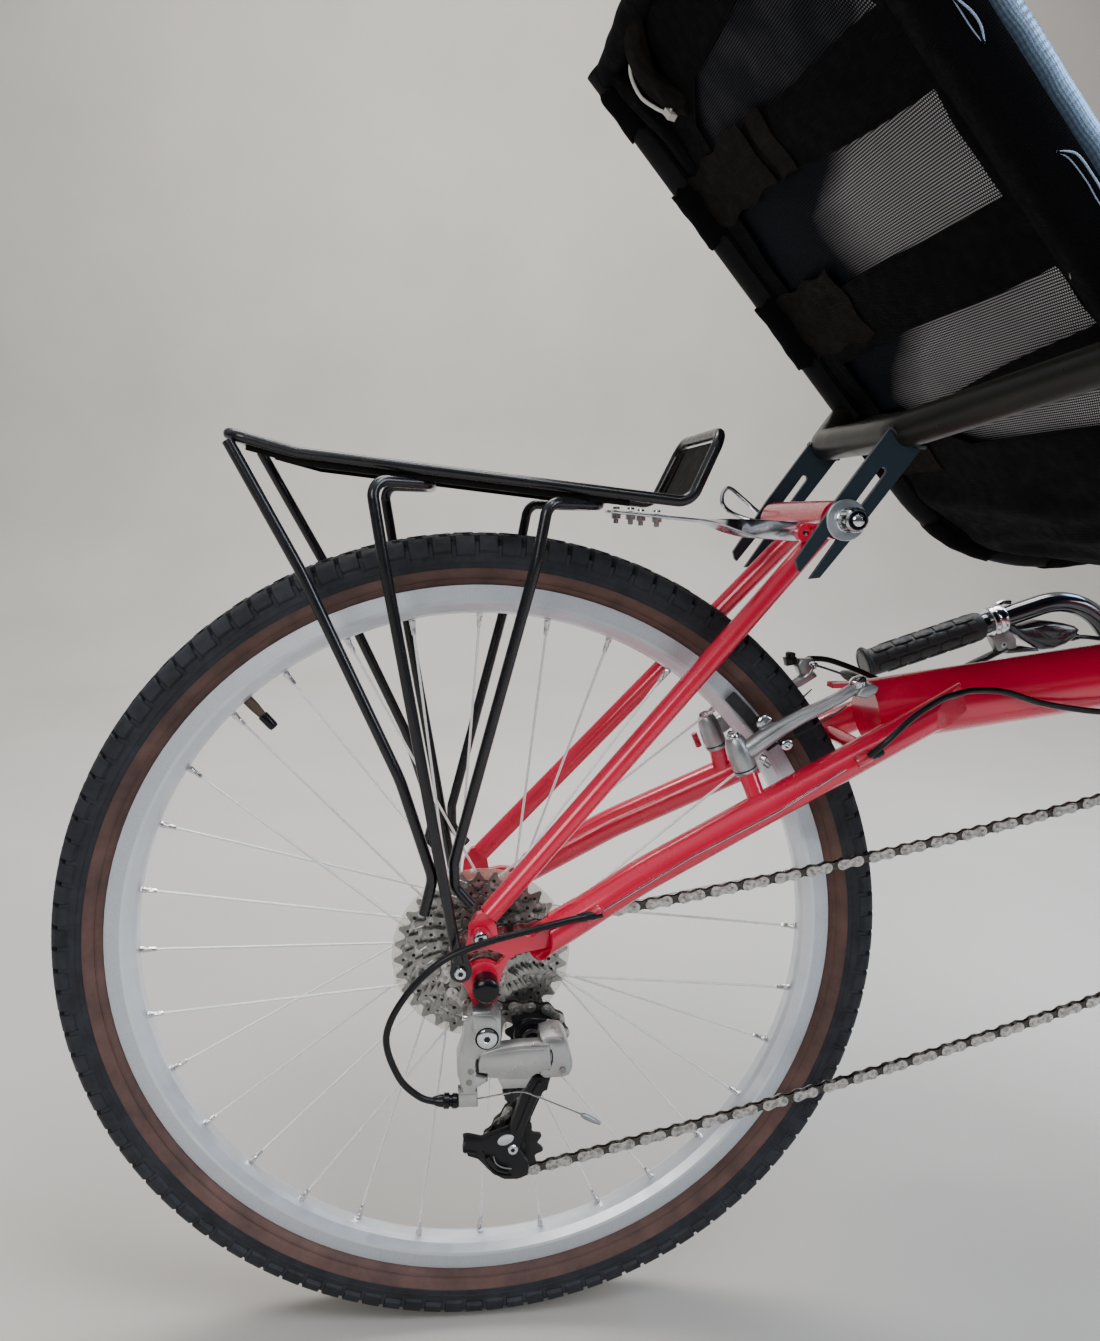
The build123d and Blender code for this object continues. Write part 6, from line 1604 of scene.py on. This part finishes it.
def on_sleeve(s, deg, r=17.3):
    """Point on the near sleeve; the angle is taken on the tube and carried out to the padding."""
    d, nb = seat_dir(s)
    cy, cn, pr, t = pad_shape(s)
    a = radians(deg - 9.0 * t)
    return seat_at(s, cy, cn) + (nb * cos(a) + Vector((0, -sin(a), 0))) * (r + pr - 17.2)


for slit in (((178, 59.8), (191, 63.5), (200, 63.9), (208, 62.0)),
             ((274, 64.6), (281, 76.0), (295.6, 78.6), (308, 77.5), (319, 76.3))):
    mid = smooth_line([on_sleeve(s, a) for s, a in slit], 6)
    upper = smooth_line([on_sleeve(s, a + (5.0 if 0 < i < len(slit) - 1 else 0), 17.6) for i, (s, a) in enumerate(slit)], 6)
    lower = smooth_line([on_sleeve(s, a - (4.0 if 0 < i < len(slit) - 1 else 0), 17.6) for i, (s, a) in enumerate(slit)], 6)
    tube(bits, mid, 1.0, 6, 4)
    tube(bits, upper, 0.62, 6, 0)
    tube(bits, lower, 0.36, 6, 0)
for pts in (((187, -198), (196, -197), (206, -199)), ((207, -213), (201, -203), (196, -197)), ((213, -205), (226, -213)),
            ((150, -201), (166, -199), (187, -198)), ((330, -196), (336, -190), (341, -187))):
    tube(bits, smooth_line([seat_at(s, y, 9.0 + 6.0 * (1 if y < -200 else 0)) for s, y in pts], 5), 0.30, 5, 1)
loop_pts = [(29, 105.5, 11), (36.6, 129, 14), (54, 137, 15.5), (71, 127, 15), (83.5, 117, 13)]
tube(bits, smooth_line([seat_at(*p) for p in loop_pts], 6), 1.5, 8, 2)
tube(bits, smooth_line([seat_at(*p) for p in ((29, 105.5, 11), (33, 98, 3), (50, 96, 0.5), (74, 106, 1), (83.5, 117, 13))], 5),
     1.3, 8, 2)
hp, hq = seat_at(80.5, 119.5, 12), seat_at(88, 112.5, 14.5)
x_, y_, d_ = basis(hq - hp)
hv = []
for t in (0, 1):
    for a_, b_ in ((-3.4, -2.6), (3.4, -2.6), (3.8, 2.6), (-3.8, 2.6)):
        hv.append((hp if t == 0 else hq) + x_ * a_ + y_ * b_)
bits.add(hv, [(0, 3, 2, 1), (4, 5, 6, 7), (0, 1, 5, 4), (1, 2, 6, 5), (2, 3, 7, 6), (3, 0, 4, 7)], 2)
bits.build(weld=False)

roll = Piece("seat_corner_roll", "frame", "sling_mesh", [SLEEVE_BROWN, STRAP], 70)
for base, rad, mat, seed in ((((14, 70, 5), (26, 100, 8), (46, 118, 8), (70, 116, 6), (92, 100, 4)), 11.0, 0, 0.4),
                             (((8, 196, 2), (26, 178, 6), (60, 166, 7), (96, 160, 5), (126, 168, 4)), 9.0, 1, 2.1)):
    line_ = smooth_line([seat_at(*p) for p in base], 7)
    kk = len(line_)
    n_ = 20
    verts, faces, uv = [], [], []
    nbk = BACK1
    for i, p in enumerate(line_):
        d_ = (line_[min(i + 1, kk - 1)] - line_[max(i - 1, 0)]).normalized()
        side_ = d_.cross(nbk).normalized()
        fat = (0.35 + 0.65 * sin(pi * min(max((i + 1) / (kk + 1), 0.0), 1.0)) ** 0.6)
        for j in range(n_):
            a_ = 2 * pi * j / n_
            rr = rad * fat * (1 + 0.10 * sin(3 * a_ + i * 0.35 + seed) + 0.07 * sin(7 * a_ - i * 0.6 + seed))
            verts.append(p + side_ * rr * cos(a_) * 1.5 + nbk * rr * sin(a_) * 0.62)
            uv.append((a_ * rad / 1000, i * 0.006))
    for i in range(kk - 1):
        for j in range(n_):
            j2 = (j + 1) % n_
            faces.append((i * n_ + j, i * n_ + j2, (i + 1) * n_ + j2, (i + 1) * n_ + j))
    faces += [tuple(reversed(range(n_))), tuple((kk - 1) * n_ + j for j in range(n_))]
    roll.add(verts, faces, mat, uv)
corner = roll.build(weld=True, subsurf=1)

# ---------------------------------------------------------------------------
# Floor and light
# ---------------------------------------------------------------------------
GZ = -0.6512
me = bpy.data.meshes.new("floor")
S = 9.0
fl, prof = [], []
# floor that curves up into a wall well behind the object
for i in range(41):
    x = -S + 2 * S * i / 40
    prof.append(x)
rows = [(-6.0, GZ), (-2.0, GZ), (0.0, GZ), (2.2, GZ), (2.8, GZ + 0.06), (3.3, GZ + 0.25), (3.65, GZ + 0.6),
        (3.8, GZ + 1.1), (3.85, GZ + 6.0)]
verts = [(x, y, z) for y, z in rows for x in (-S, S)]
faces = [(2 * i, 2 * i + 1, 2 * i + 3, 2 * i + 2) for i in range(len(rows) - 1)]
me.from_pydata(verts, [], faces)
for p in me.polygons:
    p.use_smooth = True
floor = bpy.data.objects.new("floor", me)
bpy.context.scene.collection.objects.link(floor)
FL = M("floor_matt")
FL.set(Base_Color=FL.ramp(FL.noise(2.0, 4), [(0.3, (0.385, 0.362, 0.330)), (0.7, (0.425, 0.400, 0.366))]), Roughness=0.85)
me.materials.append(FL.m)

world = bpy.data.worlds.new("world")
bpy.context.scene.world = world
world.use_nodes = True
wt = world.node_tree
co = wt.nodes.new("ShaderNodeTexCoord")
sx = wt.nodes.new("ShaderNodeSeparateXYZ")
wt.links.new(co.outputs["Generated"], sx.inputs[0])
mixup = wt.nodes.new("ShaderNodeMath")
mixup.operation = "MULTIPLY_ADD"
wt.links.new(sx.outputs[1], mixup.inputs[0])
mixup.inputs[1].default_value = 0.35
wt.links.new(sx.outputs[2], mixup.inputs[2])
sky = wt.nodes.new("ShaderNodeValToRGB")
el = sky.color_ramp.elements
el[0].position, el[0].color = 0.0, (0.055, 0.055, 0.058, 1)
el[1].position, el[1].color = 1.0, (0.90, 0.95, 1.0, 1)
for pos_, col_ in ((0.42, (0.085, 0.087, 0.092, 1)), (0.60, (0.22, 0.235, 0.26, 1)), (0.78, (0.62, 0.67, 0.74, 1))):
    e_ = el.new(pos_)
    e_.color = col_
half_ = wt.nodes.new("ShaderNodeMapRange")
half_.inputs["From Min"].default_value = -1.0
half_.inputs["From Max"].default_value = 1.0
wt.links.new(mixup.outputs[0], half_.inputs["Value"])
wt.links.new(half_.outputs["Result"], sky.inputs["Fac"])
wt.links.new(sky.outputs["Color"], wt.nodes["Background"].inputs[0])
wt.nodes["Background"].inputs[1].default_value = 0.85


def area(name, where, target, size, power, color=(1, 1, 1), size_y=None):
    d = bpy.data.lights.new(name, "AREA")
    d.energy = power
    d.color = color
    d.shape = "RECTANGLE"
    d.size = size
    d.size_y = size_y or size
    o = bpy.data.objects.new(name, d)
    bpy.context.scene.collection.objects.link(o)
    o.location = where
    v = Vector(target) - Vector(where)
    o.rotation_euler = v.to_track_quat("-Z", "Y").to_euler()
    return o


area("key_top", (0.5, -0.7, 2.5), (-0.15, 0, -0.1), 2.0, 84, (0.92, 0.96, 1.0), 1.5)
area("side_right", (2.1, -1.6, 1.5), (0.0, 0, -0.05), 1.1, 48, (0.80, 0.89, 1.0), 1.6)
area("seat_sheen", (1.75, 0.18, 1.65), (0.29, -0.21, 0.53), 1.5, 46, (0.34, 0.60, 1.0), 0.7)
area("front_fill", (-1.8, -2.6, 1.1), (-0.3, 0, -0.25), 1.4, 34, (1.0, 0.97, 0.93), 1.2)
area("wall_wash", (-0.4, 1.4, 2.9), (-0.3, 3.6, -0.1), 3.2, 150, (1.0, 0.97, 0.93), 1.4)
area("floor_wash", (-0.4, 0.9, 2.4), (-0.3, 1.0, -0.65), 2.8, 40, (1.0, 0.97, 0.93), 1.4)
